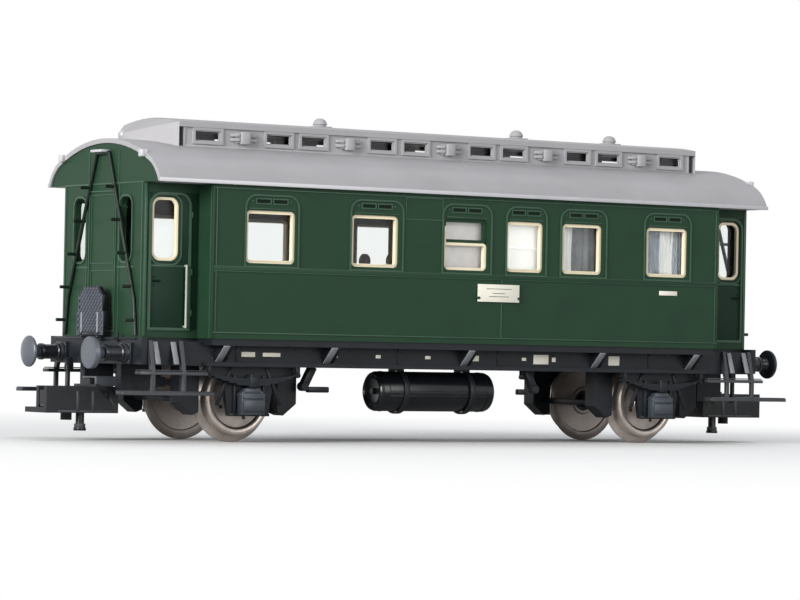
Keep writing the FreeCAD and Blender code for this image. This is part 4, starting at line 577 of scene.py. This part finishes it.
# Buffers: black plastic sleeves with collars on square bolted flanges, and plungers that slide
# in them against a steel coil. One head of each end is flat and the other is crowned.
buffer_black = coating("buffer_black", (0.011, 0.013, 0.017), 0.28, shade=0.15, worn=0.2,
                       shine=0.4)
head_highlight_grey = coating("head_highlight_grey", (0.075, 0.085, 0.105), 0.3, shade=0.12, relief=0.01)
spring_steel = coating("spring_steel", (0.25, 0.25, 0.26), 0.35, metallic=0.9)
screw_steel = coating("screw_steel", (0.3, 0.3, 0.31), 0.33, metallic=0.9)
BUFFER_HALF_SPACING = 10
SLEEVE_LENGTH = 4.2
FLANGE_HALF, FLANGE_THICK = 1.6, 0.5
BOLT_PLACE, BOLT_RADIUS = 1.2, 0.2
low, high = span("buffer_housings")
base_x = low.x + SLEEVE_LENGTH
buffer_z = (low.z + high.z) / 2
form = bmesh.new()
for across in (-BUFFER_HALF_SPACING, BUFFER_HALF_SPACING):
    place = (base_x, across, buffer_z)
    turned(form, [(0.86, -SLEEVE_LENGTH), (1.2, -SLEEVE_LENGTH), (1.25, -4.1), (1.25, -3.6),
                  (1.12, -3.5), (1.12, -1.5), (1.3, -1.35), (1.3, -1.0), (1.45, -0.8),
                  (1.5, -0.45), (1.5, 0), (0.86, 0), (0.86, -SLEEVE_LENGTH)], place, "X", 40)
    bar(form, (base_x - FLANGE_THICK, across - FLANGE_HALF, buffer_z - FLANGE_HALF),
        (base_x, across + FLANGE_HALF, buffer_z + FLANGE_HALF), 0.12)
    for side in (-BOLT_PLACE, BOLT_PLACE):
        for rise in (-BOLT_PLACE, BOLT_PLACE):
            rivet(form, (base_x - FLANGE_THICK, across + side, buffer_z + rise), BOLT_RADIUS, "X")
mirrored(form, "X")
sleeves = piece("buffer_sleeves", form, buffer_black, "coach")
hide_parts("buffer_housings")
CROWN_RISE, FLAT_RISE = 0.5, 0.06
for end, way in (("front", -1), ("rear", 1)):
    for side, sign in (("left", -1), ("right", 1)):
        body = f"buffer_{end}_{side}"
        low, high = span(f"buffer_plunger_{end}_{side}")
        place = (low.x if way < 0 else high.x, sign * BUFFER_HALF_SPACING, buffer_z)
        crowned = way * sign < 0
        rim = CROWN_RISE if crowned else FLAT_RISE
        outline = [(0, 0.0), (0.9, rim * 0.12), (1.7, rim * 0.44), (2.2, rim * 0.8), (2.33, rim),
                   (2.38, rim + 0.1), (2.38, 0.82), (2.28, 0.95), (1.3, 1.0), (0.92, 1.12),
                   (0.8, 1.3), (0.8, 4.4), (0, 4.4)]
        form = bmesh.new()
        turned(form, [(radius, -way * along) for radius, along in outline], place, "X", 48)
        if not crowned:
            for ring in (0.7, 1.4, 2.05):
                turned(form, [(ring - 0.08, -way * 0.04), (ring, 0), (ring + 0.08, -way * 0.04)],
                       place, "X", 48)
        # The front heads are a lighter grey than the rear ones: a painted highlight for the lit
        # end.
        finish = head_highlight_grey if way < 0 else buffer_black
        plunger = piece(f"turned_{body}", form, finish, body)
        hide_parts(f"buffer_plunger_{end}_{side}")
        paint_node(f"buffer_spring_{end}_{side}", spring_steel)

# Couplers: a drawbar swings on a steel screw against a flat centring spring. It holds a black
# plastic head with ribs, and a hook with a pin that lifts.
coupler_black = coating("coupler_black", (0.008, 0.009, 0.011), 0.32, shade=0.2, worn=0.2,
                        shine=0.3)
hook_grey = coating("hook_grey", (0.06, 0.068, 0.078), 0.36, shade=0.15)
paint_node("coupler_pivot_screws", screw_steel, 0.05)
HEAD_SIDE, HEAD_MIDDLE, HEAD_HALF = 3.4, 61.3, 4.6
NOSE_PLACE, PIN_PLACE = 65.05, 60.35
for end, way in (("front", -1), ("rear", 1)):
    paint_node(f"drawbar_{end}", hook_grey, 0.08)
    paint_node(f"coupler_head_{end}", coupler_black, 0.08)
    paint_node(f"coupler_hook_{end}", coupler_black, 0.07)
    paint_node(f"centring_spring_{end}", spring_steel)
    form = bmesh.new()
    for side in (-1, 1):
        for along in (60.0, 62.6):
            bar(form, (way * along - 0.25, side * HEAD_SIDE - 0.09, 4.3),
                (way * along + 0.25, side * HEAD_SIDE + 0.09, 7.4), 0.05)
        bar(form, (way * HEAD_MIDDLE - HEAD_HALF, side * HEAD_SIDE - 0.07, 4.25),
            (way * HEAD_MIDDLE + HEAD_HALF, side * HEAD_SIDE + 0.07, 4.55), 0.04)
    # The ribs are a paler black than the head they stand on: a painted highlight for their edges.
    piece(f"coupler_ribs_{end}", form, step_black, f"coupler_{end}")
    # The hook's nose is grey while the hook is black: a painted highlight on its top.
    form = bmesh.new()
    bar(form, (way * NOSE_PLACE - 0.86, -2.36, 5.0), (way * NOSE_PLACE + 0.86, 2.36, 7.42), 0.1)
    turned(form, [(0.66, 1.9), (0.8, 1.9), (0.85, 2.0), (0.85, 2.5), (0.66, 2.5)],
           (way * PIN_PLACE, 0, 0), "Z", 24)
    piece(f"hook_nose_{end}", form, hook_grey, f"hook_{end}")

# Body shell: one green plastic moulding with recessed vestibules, clipped over the frame. A
# belt, beads, window surrounds and slot vents are moulded on its sides. The mouldings are a
# paler green than the walls, a painted highlight for the light their edges catch.
coach_green = coating("coach_green", (0.0135, 0.0405, 0.021), 0.42, shade=0.07, patch=170,
                      relief=0.012, shine=0.14)
# A paler copy of the body green for all raised mouldings: a painted highlight.
highlight_moulding_green = coating("highlight_moulding_green", (0.03, 0.072, 0.043), 0.38, shade=0.12, patch=400,
                         relief=0.012, shine=0.3)
slot_dark = coating("slot_dark", (0.003, 0.009, 0.005), 0.6, shine=0.1)
paint_node("body_shell", coach_green)
SIDE = -16.8
DOOR_SIDE = -12.4
SALOON_END = 47.55
WINDOWS = ((-37.68, 8.67), (-19.05, 8.59), (-2.21, 8.06),
           (9.01, 7.08), (20.18, 7.81), (37.13, 8.34))
SURROUNDS = ((-37.5, 9.54), (-18.75, 9.76), (-2.05, 9.42),
             (9.25, 7.96), (20.4, 9.25), (37.2, 9.64))
FAR_WINDOWS = (*WINDOWS[:2], (2.05, 8.06), *WINDOWS[4:])
FAR_SURROUNDS = (*SURROUNDS[:2], (2.05, 9.42), *SURROUNDS[4:])
SILL = 27.0
BELT_LOW, BELT_HIGH = 25.65, 26.4
BODY_FOOT, BODY_HEAD = 15.7, 38.5
BEAD_FOOT, BEAD_HEAD = 16.6, 38.1
SURROUND_TOP, SLOT_LEVEL, LINTEL_LEVEL = 37.3, 36.3, 35.1
SLOTS = (-1.55, 1.4)


def add_ring(form, wall, low, high, corner, width, depth, tops_only=False):
    """A raised outline with rounded corners on a wall, that stands out towards -Y."""
    sheet = bmesh.new()
    middle = Vector(((low[0] + high[0]) / 2, 0, (low[1] + high[1]) / 2))
    shape = (Matrix.Translation(middle) @ rotation(90, "X")
             @ Matrix.Diagonal((high[0] - low[0], high[1] - low[1], 1, 1)))
    corners = bmesh.ops.create_grid(sheet, x_segments=1, y_segments=1, size=0.5,
                                    matrix=shape)["verts"]
    if corner:
        chosen = [vertex for vertex in corners if vertex.co.z > middle.z or not tops_only]
        bmesh.ops.bevel(sheet, geom=chosen, offset=corner, segments=6, profile=0.5,
                        affect="VERTICES", material=-1)
    whole = sheet.faces[:]
    bmesh.ops.inset_region(sheet, faces=whole, thickness=width,
                           use_boundary=True, use_even_offset=True)
    bmesh.ops.delete(sheet, geom=whole, context="FACES_ONLY")
    raised = bmesh.ops.extrude_face_region(sheet, geom=sheet.faces[:], use_keep_orig=True)["geom"]
    lifted = [item for item in raised if isinstance(item, bmesh.types.BMVert)]
    bmesh.ops.translate(sheet, verts=lifted, vec=(0, -depth, 0))
    bmesh.ops.translate(sheet, verts=sheet.verts, vec=(0, wall, 0))
    absorb(form, sheet)


def across_to(side, form):
    """Turn a left side's shapes over to the right side."""
    if side == "right":
        bmesh.ops.scale(form, vec=(1, -1, 1), verts=form.verts)


for side, windows, surrounds in (("left", WINDOWS, SURROUNDS),
                                 ("right", FAR_WINDOWS, FAR_SURROUNDS)):
    form = bmesh.new()
    strip(form, SIDE, (-SALOON_END, BELT_LOW), (SALOON_END, BELT_HIGH), 0.16, 0.07)
    for way in (-1, 1):
        edge = way * SALOON_END
        strip(form, SIDE, (edge - 0.28, BODY_FOOT), (edge + 0.12, BODY_HEAD), 0.14, 0.1, 0.3)
    across_to(side, form)
    piece(f"belt_strip_{side}", form, coach_green, "coach", 30)

    form = bmesh.new()
    for low, high in ((16.45, 16.62), (BELT_LOW - 0.02, BELT_LOW + 0.08),
                      (BELT_HIGH - 0.06, BELT_HIGH + 0.04), (37.95, 38.12)):
        strip(form, SIDE, (-SALOON_END, low), (SALOON_END, high), 0.18, 0.04)
    for way in (-1, 1):
        bead = way * (SALOON_END - 0.45)
        strip(form, SIDE, (bead - 0.08, BEAD_FOOT), (bead + 0.08, BEAD_HEAD), 0.14, 0.04)
    strip(form, SIDE, (4.6, BEAD_FOOT), (4.8, 25.7), 0.12, 0.04)
    for (place, width), (_, opening) in zip(surrounds, windows):
        add_ring(form, SIDE, (place - width / 2, BELT_HIGH - 0.05),
                 (place + width / 2, SURROUND_TOP), 1.9, 0.24, 0.2, True)
        strip(form, SIDE, (place - opening / 2 + 0.3, LINTEL_LEVEL),
              (place + opening / 2 - 0.3, LINTEL_LEVEL + 0.15), 0.12, 0.05)
        for slot in SLOTS:
            add_ring(form, SIDE, (place + slot - 1.35, SLOT_LEVEL - 0.45),
                     (place + slot + 1.35, SLOT_LEVEL + 0.45), 0, 0.17, 0.14)
        for dot in (-3.35, 3.2):
            rivet(form, (place + dot, SIDE, SLOT_LEVEL), RIVET_RADIUS)
    if side == "left":
        add_ring(form, SIDE, (-13.55, 34.5), (-6.6, 37.95), 0, 0.13, 0.1)
    for place in (-40.1, -26.0, -13.9, -4.4, 4.5, 15.2, 17.6, 29.0, 43.5):
        rivet(form, (place, SIDE, BEAD_HEAD), 0.2)
    across_to(side, form)
    piece(f"side_mouldings_{side}", form, highlight_moulding_green, "coach", 30)

    # Near-black strips inside the slot outlines stand in for the slots' depth: painted shade.
    form = bmesh.new()
    for place, _ in surrounds:
        for slot in SLOTS:
            strip(form, SIDE, (place + slot - 1.18, SLOT_LEVEL - 0.28),
                  (place + slot + 1.18, SLOT_LEVEL + 0.28), 0.03, sunk=0.02)
    across_to(side, form)
    piece(f"vent_slots_{side}", form, slot_dark, "coach")

# Vestibule doors and end walls: panel outlines, hinges and beads moulded with the body. Thin
# darker green skins on the door leaves are painted shade for the recess. Each door has a black
# handle and a pale wire grab rail.
shade_door_green = coating("shade_door_green", (0.0075, 0.0245, 0.0145), 0.45, shade=0.1, patch=300,
                     relief=0.012, shine=0.12)
LEAF_FOOT, LEAF_HEAD = 16.9, 37.2
PANE_FOOT, PANE_HEAD = 26.95, 36.55
# Thin darker skins over each door leaf: painted shade for the vestibule recess.
form = bmesh.new()
for low, high in (((-56.3, LEAF_FOOT), (-47.8, PANE_FOOT)),
                  ((-56.3, PANE_FOOT), (-55.6, LEAF_HEAD)),
                  ((-51.0, PANE_FOOT), (-47.8, LEAF_HEAD)),
                  ((-55.6, PANE_HEAD), (-51.0, LEAF_HEAD))):
    strip(form, DOOR_SIDE, low, high, 0.06, 0.01, 0.04)
mirrored(form, "Y", "X")
piece("door_shade_skins", form, shade_door_green, "coach")

form = bmesh.new()
add_ring(form, DOOR_SIDE, (-56.15, 16.75), (-49.0, LEAF_HEAD), 2.0, 0.35, 0.28, True)
add_ring(form, DOOR_SIDE, (-55.95, 26.35), (-50.55, 36.95), 1.7, 0.22, 0.2)
strip(form, DOOR_SIDE, (-55.9, 26.1), (-49.3, 26.4), 0.12, 0.05)
strip(form, DOOR_SIDE, (-56.0, 16.6), (-49.1, 17.0), 0.2, 0.07)
for level in (18.9, 25.0, 33.5):
    strip(form, DOOR_SIDE, (-49.0, level), (-48.7, level + 0.9), 0.3, 0.07)
strip(form, DOOR_SIDE, (-56.95, 15.7), (-56.45, 38.5), 0.15, 0.1, 0.1)
bar(form, (-47.75, DOOR_SIDE - 3.9, 15.7), (-47.5, DOOR_SIDE - 3.6, 38.4), 0.08)
mirrored(form, "Y", "X")
piece("door_panels", form, highlight_moulding_green, "coach", 30)

END_FACE = span("body_shell")[0].x
form = bmesh.new()
for panel in (((-4.2, 16.4), (4.2, 37.6), 0, 0.2, 0.22),
              ((-3.6, 17.0), (3.6, 25.6), 0, 0.12, 0.14),
              ((-3.6, 26.6), (3.6, 37.0), 0, 0.12, 0.14)):
    add_ring(form, END_FACE, *panel)
for across in (-7.1, 7.1):
    add_ring(form, END_FACE, (across - 2.15, 26.6), (across + 2.15, 36.9), 1.7, 0.28, 0.22)
    strip(form, END_FACE, (across - 2.6, 25.9), (across + 2.6, 26.2), 0.1, 0.04)
for across in (-5.0, 5.0, -11.9, 11.9):
    strip(form, END_FACE, (across - 0.12, 15.8), (across + 0.12, 38.6), 0.12, 0.05)
for across in (-4.6, 4.6):
    strip(form, END_FACE, (across - 0.1, 38.6), (across + 0.1, 43.5), 0.1, 0.04)
strip(form, END_FACE, (-12.3, 38.5), (12.3, 38.75), 0.12, 0.05)
bmesh.ops.rotate(form, verts=form.verts, cent=(0, 0, 0),
                 matrix=Matrix.Rotation(-math.pi / 2, 3, "Z"))
mirrored(form, "X")
piece("end_panels", form, highlight_moulding_green, "coach", 30)

form = bmesh.new()
for level in (23.4, 24.6):
    rivet(form, (-55.2, DOOR_SIDE, level), 0.22)
bar(form, (-55.4, DOOR_SIDE - 0.45, 23.9), (-54.2, DOOR_SIDE - 0.25, 24.15), 0.07)
strip(form, DOOR_SIDE, (-55.35, 23.85), (-55.1, 24.2), 0.45, 0.05)
mirrored(form, "Y", "X")
piece("door_handles", form, slot_dark, "coach")
rail_paint = coating("rail_paint", (0.34, 0.36, 0.31), 0.4, shine=0.3)
rail_low, rail_high = span("door_handrails")
RAIL_RADIUS, RAIL_INSET = 0.17, 0.2
rail_x, rail_y = rail_low.x + RAIL_INSET, rail_low.y + RAIL_INSET
form = bmesh.new()
turned(form, [(0, rail_low.z), (RAIL_RADIUS, rail_low.z), (RAIL_RADIUS, rail_high.z),
              (0, rail_high.z)], (rail_x, rail_y, 0), "Z", 16)
for level in (rail_low.z + RAIL_INSET, rail_high.z - RAIL_INSET):
    turned(form, [(0, -0.05), (RAIL_RADIUS, -0.05), (RAIL_RADIUS, 0.7), (0, 0.7)],
           (rail_x, rail_y, level), "Y", 12)
mirrored(form, "Y", "X")
rails = piece("grab_rails", form, rail_paint, "coach")
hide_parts("door_handrails")

# Boards: a blank cream destination board that hangs on clips, with three plain ruled lines,
# and a small blank label printed on each side.
form = bmesh.new()
bar(form, (0.05, SIDE - 0.42, 22.2), (7.85, SIDE - 0.1, 24.95), 0.06)
strip(form, SIDE, (35.7, 24.05), (39.3, 24.75), 0.1, 0.03, 0.03)
mirrored(form, "Y")
piece("side_boards", form, plate_cream, "coach")
form = bmesh.new()
for clip in (0.0, 7.7):
    strip(form, SIDE, (clip - 0.2, 22.6), (clip + 0.35, 23.0), 0.5, 0.05, 0.03)
strip(form, SIDE, (3.7, 24.9), (4.2, 25.5), 0.3, 0.06, 0.03)
BOARD_MIDDLE = 3.95
for line, reach in ((23.0, 1.9), (23.5, 1.2), (24.2, 2.4)):
    bar(form, (BOARD_MIDDLE - reach, SIDE - 0.43, line),
        (BOARD_MIDDLE + reach, SIDE - 0.4, line + 0.09), 0.01)
mirrored(form, "Y")
piece("board_clips", form, coach_green, "coach")

# Saloon windows: cream plastic frames with rounded corners, pressed into the openings. The
# third on the left side has a cream lower half and a green upper sash.
frame_cream = coating("frame_cream", (0.80, 0.71, 0.52), 0.42, shade=0.05, relief=0.006, shine=0.3)
FRAME_TOP = SILL + 7.9
HALF_TOP = 31.25
FRAME_FACE, SASH_FACE = -15.8, -15.74
STEP_IN = 0.32
for side, windows in (("left", WINDOWS), ("right", FAR_WINDOWS)):
    form = bmesh.new()
    for index, (place, width) in enumerate(windows):
        left, right = place - width / 2, place + width / 2
        if side == "left" and index == 2:
            add_ring(form, 0.0, (left, SILL), (right, HALF_TOP), 0.6, 0.42, 0.7)
            bar(form, (left, -0.7, 31.1), (left + 0.5, 0, FRAME_TOP - 1.1), 0.06)
            continue
        add_ring(form, 0.0, (left, SILL), (right, FRAME_TOP), 0.75, 0.42, 0.7)
        add_ring(form, -0.4, (left + STEP_IN, SILL + STEP_IN),
                 (right - STEP_IN, FRAME_TOP - STEP_IN), 0.5, 0.18, 0.4)
    bmesh.ops.translate(form, verts=form.verts, vec=(0, FRAME_FACE, 0))
    across_to(side, form)
    made = piece(f"cream_frames_{side}", form, frame_cream, "coach", 30)
    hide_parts(f"window_frames_{side}")
form = bmesh.new()
place, width = WINDOWS[2]
add_ring(form, SASH_FACE, (place - width / 2 + 0.02, HALF_TOP + 0.05),
         (place + width / 2 - 0.02, FRAME_TOP - 0.02), 0.6, 0.45, 0.7)
piece("green_sash", form, coach_green, "coach", 30)
paint_node("door_window_frames", frame_cream, 0.05)

# Glazing: clear moulded strips held behind the openings. Two windows of the left side have a
# frosted film with a bar across, fixed to the strip's inner face.
clear_glazing, tree, shader = material("clear_glazing")
shader.inputs["Base Color"].default_value = (0.95, 0.97, 0.96, 1)
shader.inputs["Transmission Weight"].default_value = 1.0
shader.inputs["IOR"].default_value = 1.35
smear = node(tree, "TexNoise", {"Scale": 380})
where = node(tree, "TexCoord")
clear = node(tree, "MapRange", {"To Min": 0.0, "To Max": 0.06})
join(tree, where, "Object", smear, "Vector")
join(tree, smear, "Fac", clear, "Value")
join(tree, clear, "Result", shader, "Roughness")
for name in ("glazing_left", "glazing_right", "vestibule_glazing", "clerestory_glazing"):
    paint_node(name, clear_glazing)
frosted = coating("frosted_film", (0.62, 0.575, 0.57), 0.6, shade=0.1, patch=420)
frosted_white = coating("frosted_white", (0.9, 0.885, 0.86), 0.6, shade=0.03)
PAINTED_GLOW_COLOUR = (0.95, 0.93, 0.91, 1)
# The frosted films glow a little: painted light for daylight shining through them.
for film, glow in ((frosted, 0.12), (frosted_white, 0.34)):
    glowing_film = film.node_tree.nodes["Principled BSDF"]
    glowing_film.inputs["Emission Color"].default_value = PAINTED_GLOW_COLOUR
    glowing_film.inputs["Emission Strength"].default_value = glow
pane_back = span("glazing_left")[1].y
for name, index, film in (("frosted_panes_c", 2, frosted), ("frosted_panes_d", 3, frosted_white)):
    place, width = WINDOWS[index]
    left, right = place - width / 2 - 0.8, place + width / 2 + 1.4
    form = bmesh.new()
    bar(form, (left, pane_back + 0.03, 26.6), (right, pane_back + 0.13, 35.4), 0.02)
    bar(form, (left, pane_back - 0.3, 30.6), (right, pane_back + 0.1, 30.85), 0.02)
    piece(name, form, film, "coach")

# Curtains: strips of printed card, folded in pleats, that are glued behind the last two
# windows of each side. They are stiff and don't move.
curtain_grey = coating("curtain_grey", (0.36, 0.40, 0.455), 0.7, shade=0.2, patch=600)
curtain_white = coating("curtain_white", (0.94, 0.93, 0.92), 0.7, shade=0.05, patch=600)
curtain_dim = coating("curtain_dim", (0.22, 0.23, 0.245), 0.6, shade=0.35, patch=330)
CURTAIN_PLACE = -14.75
CURTAIN_MIDDLE, CURTAIN_HEIGHT = 31.0, 9.2
CURTAIN_THICK = 0.08
WAIST_LEVEL, WAIST_REACH = 29.5, 5.5
PLEATS, PLEAT_DEPTH = 5, 0.16


def curtain(form, left, right, sag):
    """A pleated strip between two edges, gathered towards its waist."""
    card = bmesh.new()
    middle = (left + right) / 2
    shape = (Matrix.Translation((middle, CURTAIN_PLACE, CURTAIN_MIDDLE))
             @ rotation(90, "X")
             @ Matrix.Diagonal((right - left, CURTAIN_HEIGHT, 1, 1)))
    bmesh.ops.create_grid(card, x_segments=28, y_segments=8, size=0.5, matrix=shape)
    for vertex in card.verts:
        share = (vertex.co.x - left) / (right - left)
        vertex.co.y += PLEAT_DEPTH * math.sin(share * PLEATS * math.tau)
        waist = 1 - sag * (1 - ((vertex.co.z - WAIST_LEVEL) / WAIST_REACH) ** 2)
        vertex.co.x = middle + (vertex.co.x - middle) * max(waist, 0.2)
    bmesh.ops.solidify(card, geom=card.faces[:], thickness=CURTAIN_THICK)
    absorb(form, card)


(e_place, e_width), (f_place, f_width) = WINDOWS[4:]
e_left, f_left, f_right = e_place - e_width / 2, f_place - f_width / 2, f_place + f_width / 2
grey_form, white_form, dim_form = bmesh.new(), bmesh.new(), bmesh.new()
curtain(white_form, e_left - 0.2, e_left + 3.3, 0.12)
curtain(dim_form, e_left + 3.0, e_left + e_width + 1.8, 0)
bmesh.ops.translate(dim_form, verts=dim_form.verts, vec=(0, 0.45, 0))
curtain(grey_form, f_left - 0.2, f_left + 4.3, 0.15)
curtain(grey_form, f_right - 2.1, f_right + 1.7, 0.1)
curtain(white_form, f_left + 3.5, f_right - 1.4, 0.2)
for name, form, finish in (("curtains_white", white_form, curtain_white),
                           ("curtains_dim", dim_form, curtain_dim),
                           ("curtains_grey", grey_form, curtain_grey)):
    mirrored(form, "Y")
    made = piece(name, form, finish, "coach", 80)
    if name == "curtains_grey":
        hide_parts("window_blinds")

# Interior: a brown plastic seat moulding with slatted benches and headrests over a steel
# weight, and beige compartment walls. It shows only through the windows.
seat_brown = coating("seat_brown", (0.11, 0.065, 0.04), 0.5, shade=0.2, patch=500)
partition_beige = coating("partition_beige", (0.30, 0.28, 0.26), 0.5, shade=0.1)
ballast_steel = coating("ballast_steel", (0.2, 0.2, 0.2), 0.4, metallic=0.8)
paint_node("seat_insert", seat_brown, 0.15)
paint_node("interior_partitions", partition_beige, 0.1)
paint_node("ballast_weight", ballast_steel, 0.1)
seat_top = span("seat_insert")[1].z
BENCH_ACROSS, BENCH_HALF = 8.3, 5.6
SLAT_PITCH = 1.5
HEADREST_PLACE = -13.5
form = bmesh.new()
for place in (-45.55, -28.365, HEADREST_PLACE, 15.1, 28.65, 45.55):
    for row in (-1, 1):
        for slat in range(5):
            level = seat_top - 1.0 - slat * SLAT_PITCH
            bar(form, (place - 0.68, row * BENCH_ACROSS - BENCH_HALF, level),
                (place + 0.68, row * BENCH_ACROSS + BENCH_HALF, level + 0.7), 0.1)
for across in (-12.9, -5.2, 5.2, 12.9):
    turned(form, [(0, -0.5), (1.0, -0.45), (1.15, -0.3), (1.15, 0.3), (1.0, 0.45), (0, 0.5)],
           (HEADREST_PLACE, across, seat_top + 0.55), "X", 24)
piece("seat_slats", form, seat_brown, "coach")

# Roof: an arched shell in silver-grey plastic, clipped on the body, with a paler eave strip
# and the clerestory, whose windows have raised frames. Hooded vents stand on the
# clerestory's walls, and turned domes on its top.
roof_silver = coating("roof_silver", (0.33, 0.326, 0.342), 0.5, shade=0.07, patch=90,
                      grain=6500, relief=0.012, shine=0.15)
roof_light = coating("roof_light", (0.47, 0.475, 0.50), 0.42, shade=0.05, grain=6500,
                     relief=0.01, metallic=0.1, shine=0.35)
paint_node("roof", roof_silver, 0.12)
form = bmesh.new()
bar(form, (-57.3, -17.72, 38.55), (57.3, -17.45, 39.15), 0.1)
mirrored(form, "Y")
piece("eave_strips", form, roof_light, "coach")
WALL = -8.15
BAY = 6.28
PANE_END = 47.9
form = bmesh.new()
for bay in (-7, -5, -4, -2, -1, 1, 2, 4, 5, 7):
    add_ring(form, WALL, (bay * BAY - 2.65, 44.9), (bay * BAY + 2.65, 47.4), 0, 0.42, 0.3)
    add_ring(form, WALL + 0.3, (bay * BAY - 2.56, 45.0), (bay * BAY + 2.56, 47.3), 0, 0.5, 0.35)
strip(form, WALL, (-48.2, 47.32), (48.2, 47.5), 0.12, 0.05)
strip(form, WALL, (-PANE_END, 44.45), (PANE_END, 44.75), 0.1, 0.05)
for way in (-1, 1):
    strip(form, WALL, (way * PANE_END - 0.25, 44.4), (way * PANE_END + 0.15, 47.4), 0.12, 0.08, 0.3)
mirrored(form, "Y")
piece("clerestory_frames", form, roof_silver, "coach", 30)

form = bmesh.new()
for bay in (-6, -3, 0, 3, 6):
    place = bay * BAY
    bar(form, (place - 1.5, WALL - 0.35, 45.3), (place + 1.5, WALL, 46.95), 0.1)
    for way in (-1, 1):
        hood = place + way * 1.6
        flare = rotation(way * 14, "Z")
        for level in (45.55, 46.25):
            bar(form, (hood - 0.75, WALL - 0.6, level), (hood + 0.75, WALL - 0.05, level + 0.5),
                0.14, flare)
    bar(form, (place - 0.8, WALL - 1.1, 45.1), (place + 0.8, WALL - 0.2, 47.05), 0.25)
mirrored(form, "Y")
vents = piece("hooded_vents", form, roof_silver, "coach")
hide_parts("clerestory_vents")

form = bmesh.new()
for place in (-3 * BAY, 3 * BAY, 6 * BAY):
    turned(form, [(0, 50.48), (0.35, 50.44), (0.75, 50.25), (0.98, 49.95), (1.05, 49.72),
                  (1.15, 49.62), (1.15, 49.5), (0.98, 49.42), (0.92, 49.2), (1.0, 49.1),
                  (1.12, 49.05), (1.12, 48.9), (0, 48.85)], (place, 0, 0), "Z", 32)
    bar(form, (place - 1.65, -1.1, 48.85), (place + 1.65, 1.1, 49.2), 0.1)
    for way in (-1, 1):
        rivet(form, (place + way * 1.35, 0, 49.2), 0.18, "Z")
domes = piece("dome_ventilators", form, roof_silver, "coach")
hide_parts("roof_ventilators")

form = bmesh.new()
turned(form, [(0, -0.62), (0.35, -0.5), (0.58, -0.2), (0.62, 0.05), (0.5, 0.4), (0.28, 0.58),
              (0, 0.62)], (-53.9, 0, 46.2), "Z", 24)
bar(form, (-58.6, -1.7, 43.35), (-57.0, 1.7, 43.75), 0.1)
for across in (-12.35, 12.35):
    bar(form, (-57.33, across - 0.65, 42.6), (-56.9, across + 0.65, 43.4), 0.08)
mirrored(form, "X")
piece("roof_knobs", form, roof_light, "coach")
paint_node("lamp_brackets", roof_light, 0.12)

# Ladders and gangway plates: bent wire ladders painted dark green stand on both ends. The
# fold-down plates are black plastic with a raised diamond tread, two light ribs and a hinge.
ladder_green = coating("ladder_green", (0.006, 0.014, 0.009), 0.38, shade=0.25, worn=0.2,
                       shine=0.25)
for end in ("front", "rear"):
    paint_node(f"end_ladder_{end}", ladder_green)
# The tread is far lighter than the plate between its diamonds: painted highlight on the diamonds,
# painted shade between them.
plate_shade_black = coating("plate_shade_black", (0.006, 0.007, 0.01), 0.36, shade=0.2, worn=0.2, shine=0.25)
tread_grey = coating("tread_grey", (0.055, 0.062, 0.08), 0.34, shade=0.15, shine=0.4)
rib_white = coating("rib_white", (0.3, 0.32, 0.35), 0.4, shade=0.1)
paint_node("gangway_hinges", frame_black, 0.05)
PLATE_FACE = -58.9
TREAD_PITCH, TREAD_FOOT, TREAD_ROWS = 0.92, 16.3, 15
RIB_PLACE = 59.05
for end, way in (("front", -1), ("rear", 1)):
    body = f"gangway_{end}"
    paint_node(f"gangway_plate_{end}", plate_shade_black, 0.06)
    form = bmesh.new()
    for row in range(TREAD_ROWS):
        for column in range(-4, 5):
            across = (column + (row % 2) / 2) * TREAD_PITCH
            level = TREAD_FOOT + row * TREAD_PITCH / 2
            limit = 3.75 if level < 19.2 else 3.4 - max(0, level - 21.7) * 0.8
            if abs(across) > limit:
                continue
            place = Matrix.Translation((PLATE_FACE - 0.06, across, level))
            bmesh.ops.create_cone(form, segments=4, radius1=0.44, radius2=0.26, depth=0.16,
                                  cap_ends=True, matrix=place @ rotation(-90, "Y"))
    bar(form, (PLATE_FACE - 0.16, -4.1, 15.85), (PLATE_FACE + 0.02, 4.1, 16.05), 0.04)
    for side in (-1, 1):
        for edge, foot, head in ((side * 4.0, 15.9, 19.3), (side * 3.6, 19.3, 21.9)):
            bar(form, (PLATE_FACE - 0.14, edge - 0.1, foot),
                (PLATE_FACE + 0.02, edge + 0.1, head), 0.04)
    if way > 0:
        bmesh.ops.scale(form, vec=(-1, 1, 1), verts=form.verts)
    piece(f"diamond_tread_{end}", form, tread_grey, body, 20)
    form = bmesh.new()
    for side in (-2.5, 2.5):
        bar(form, (way * RIB_PLACE - 0.13, side - 0.11, 15.6),
            (way * RIB_PLACE + 0.13, side + 0.11, 19.25), 0.05)
    piece(f"plate_ribs_{end}", form, rib_white, body)
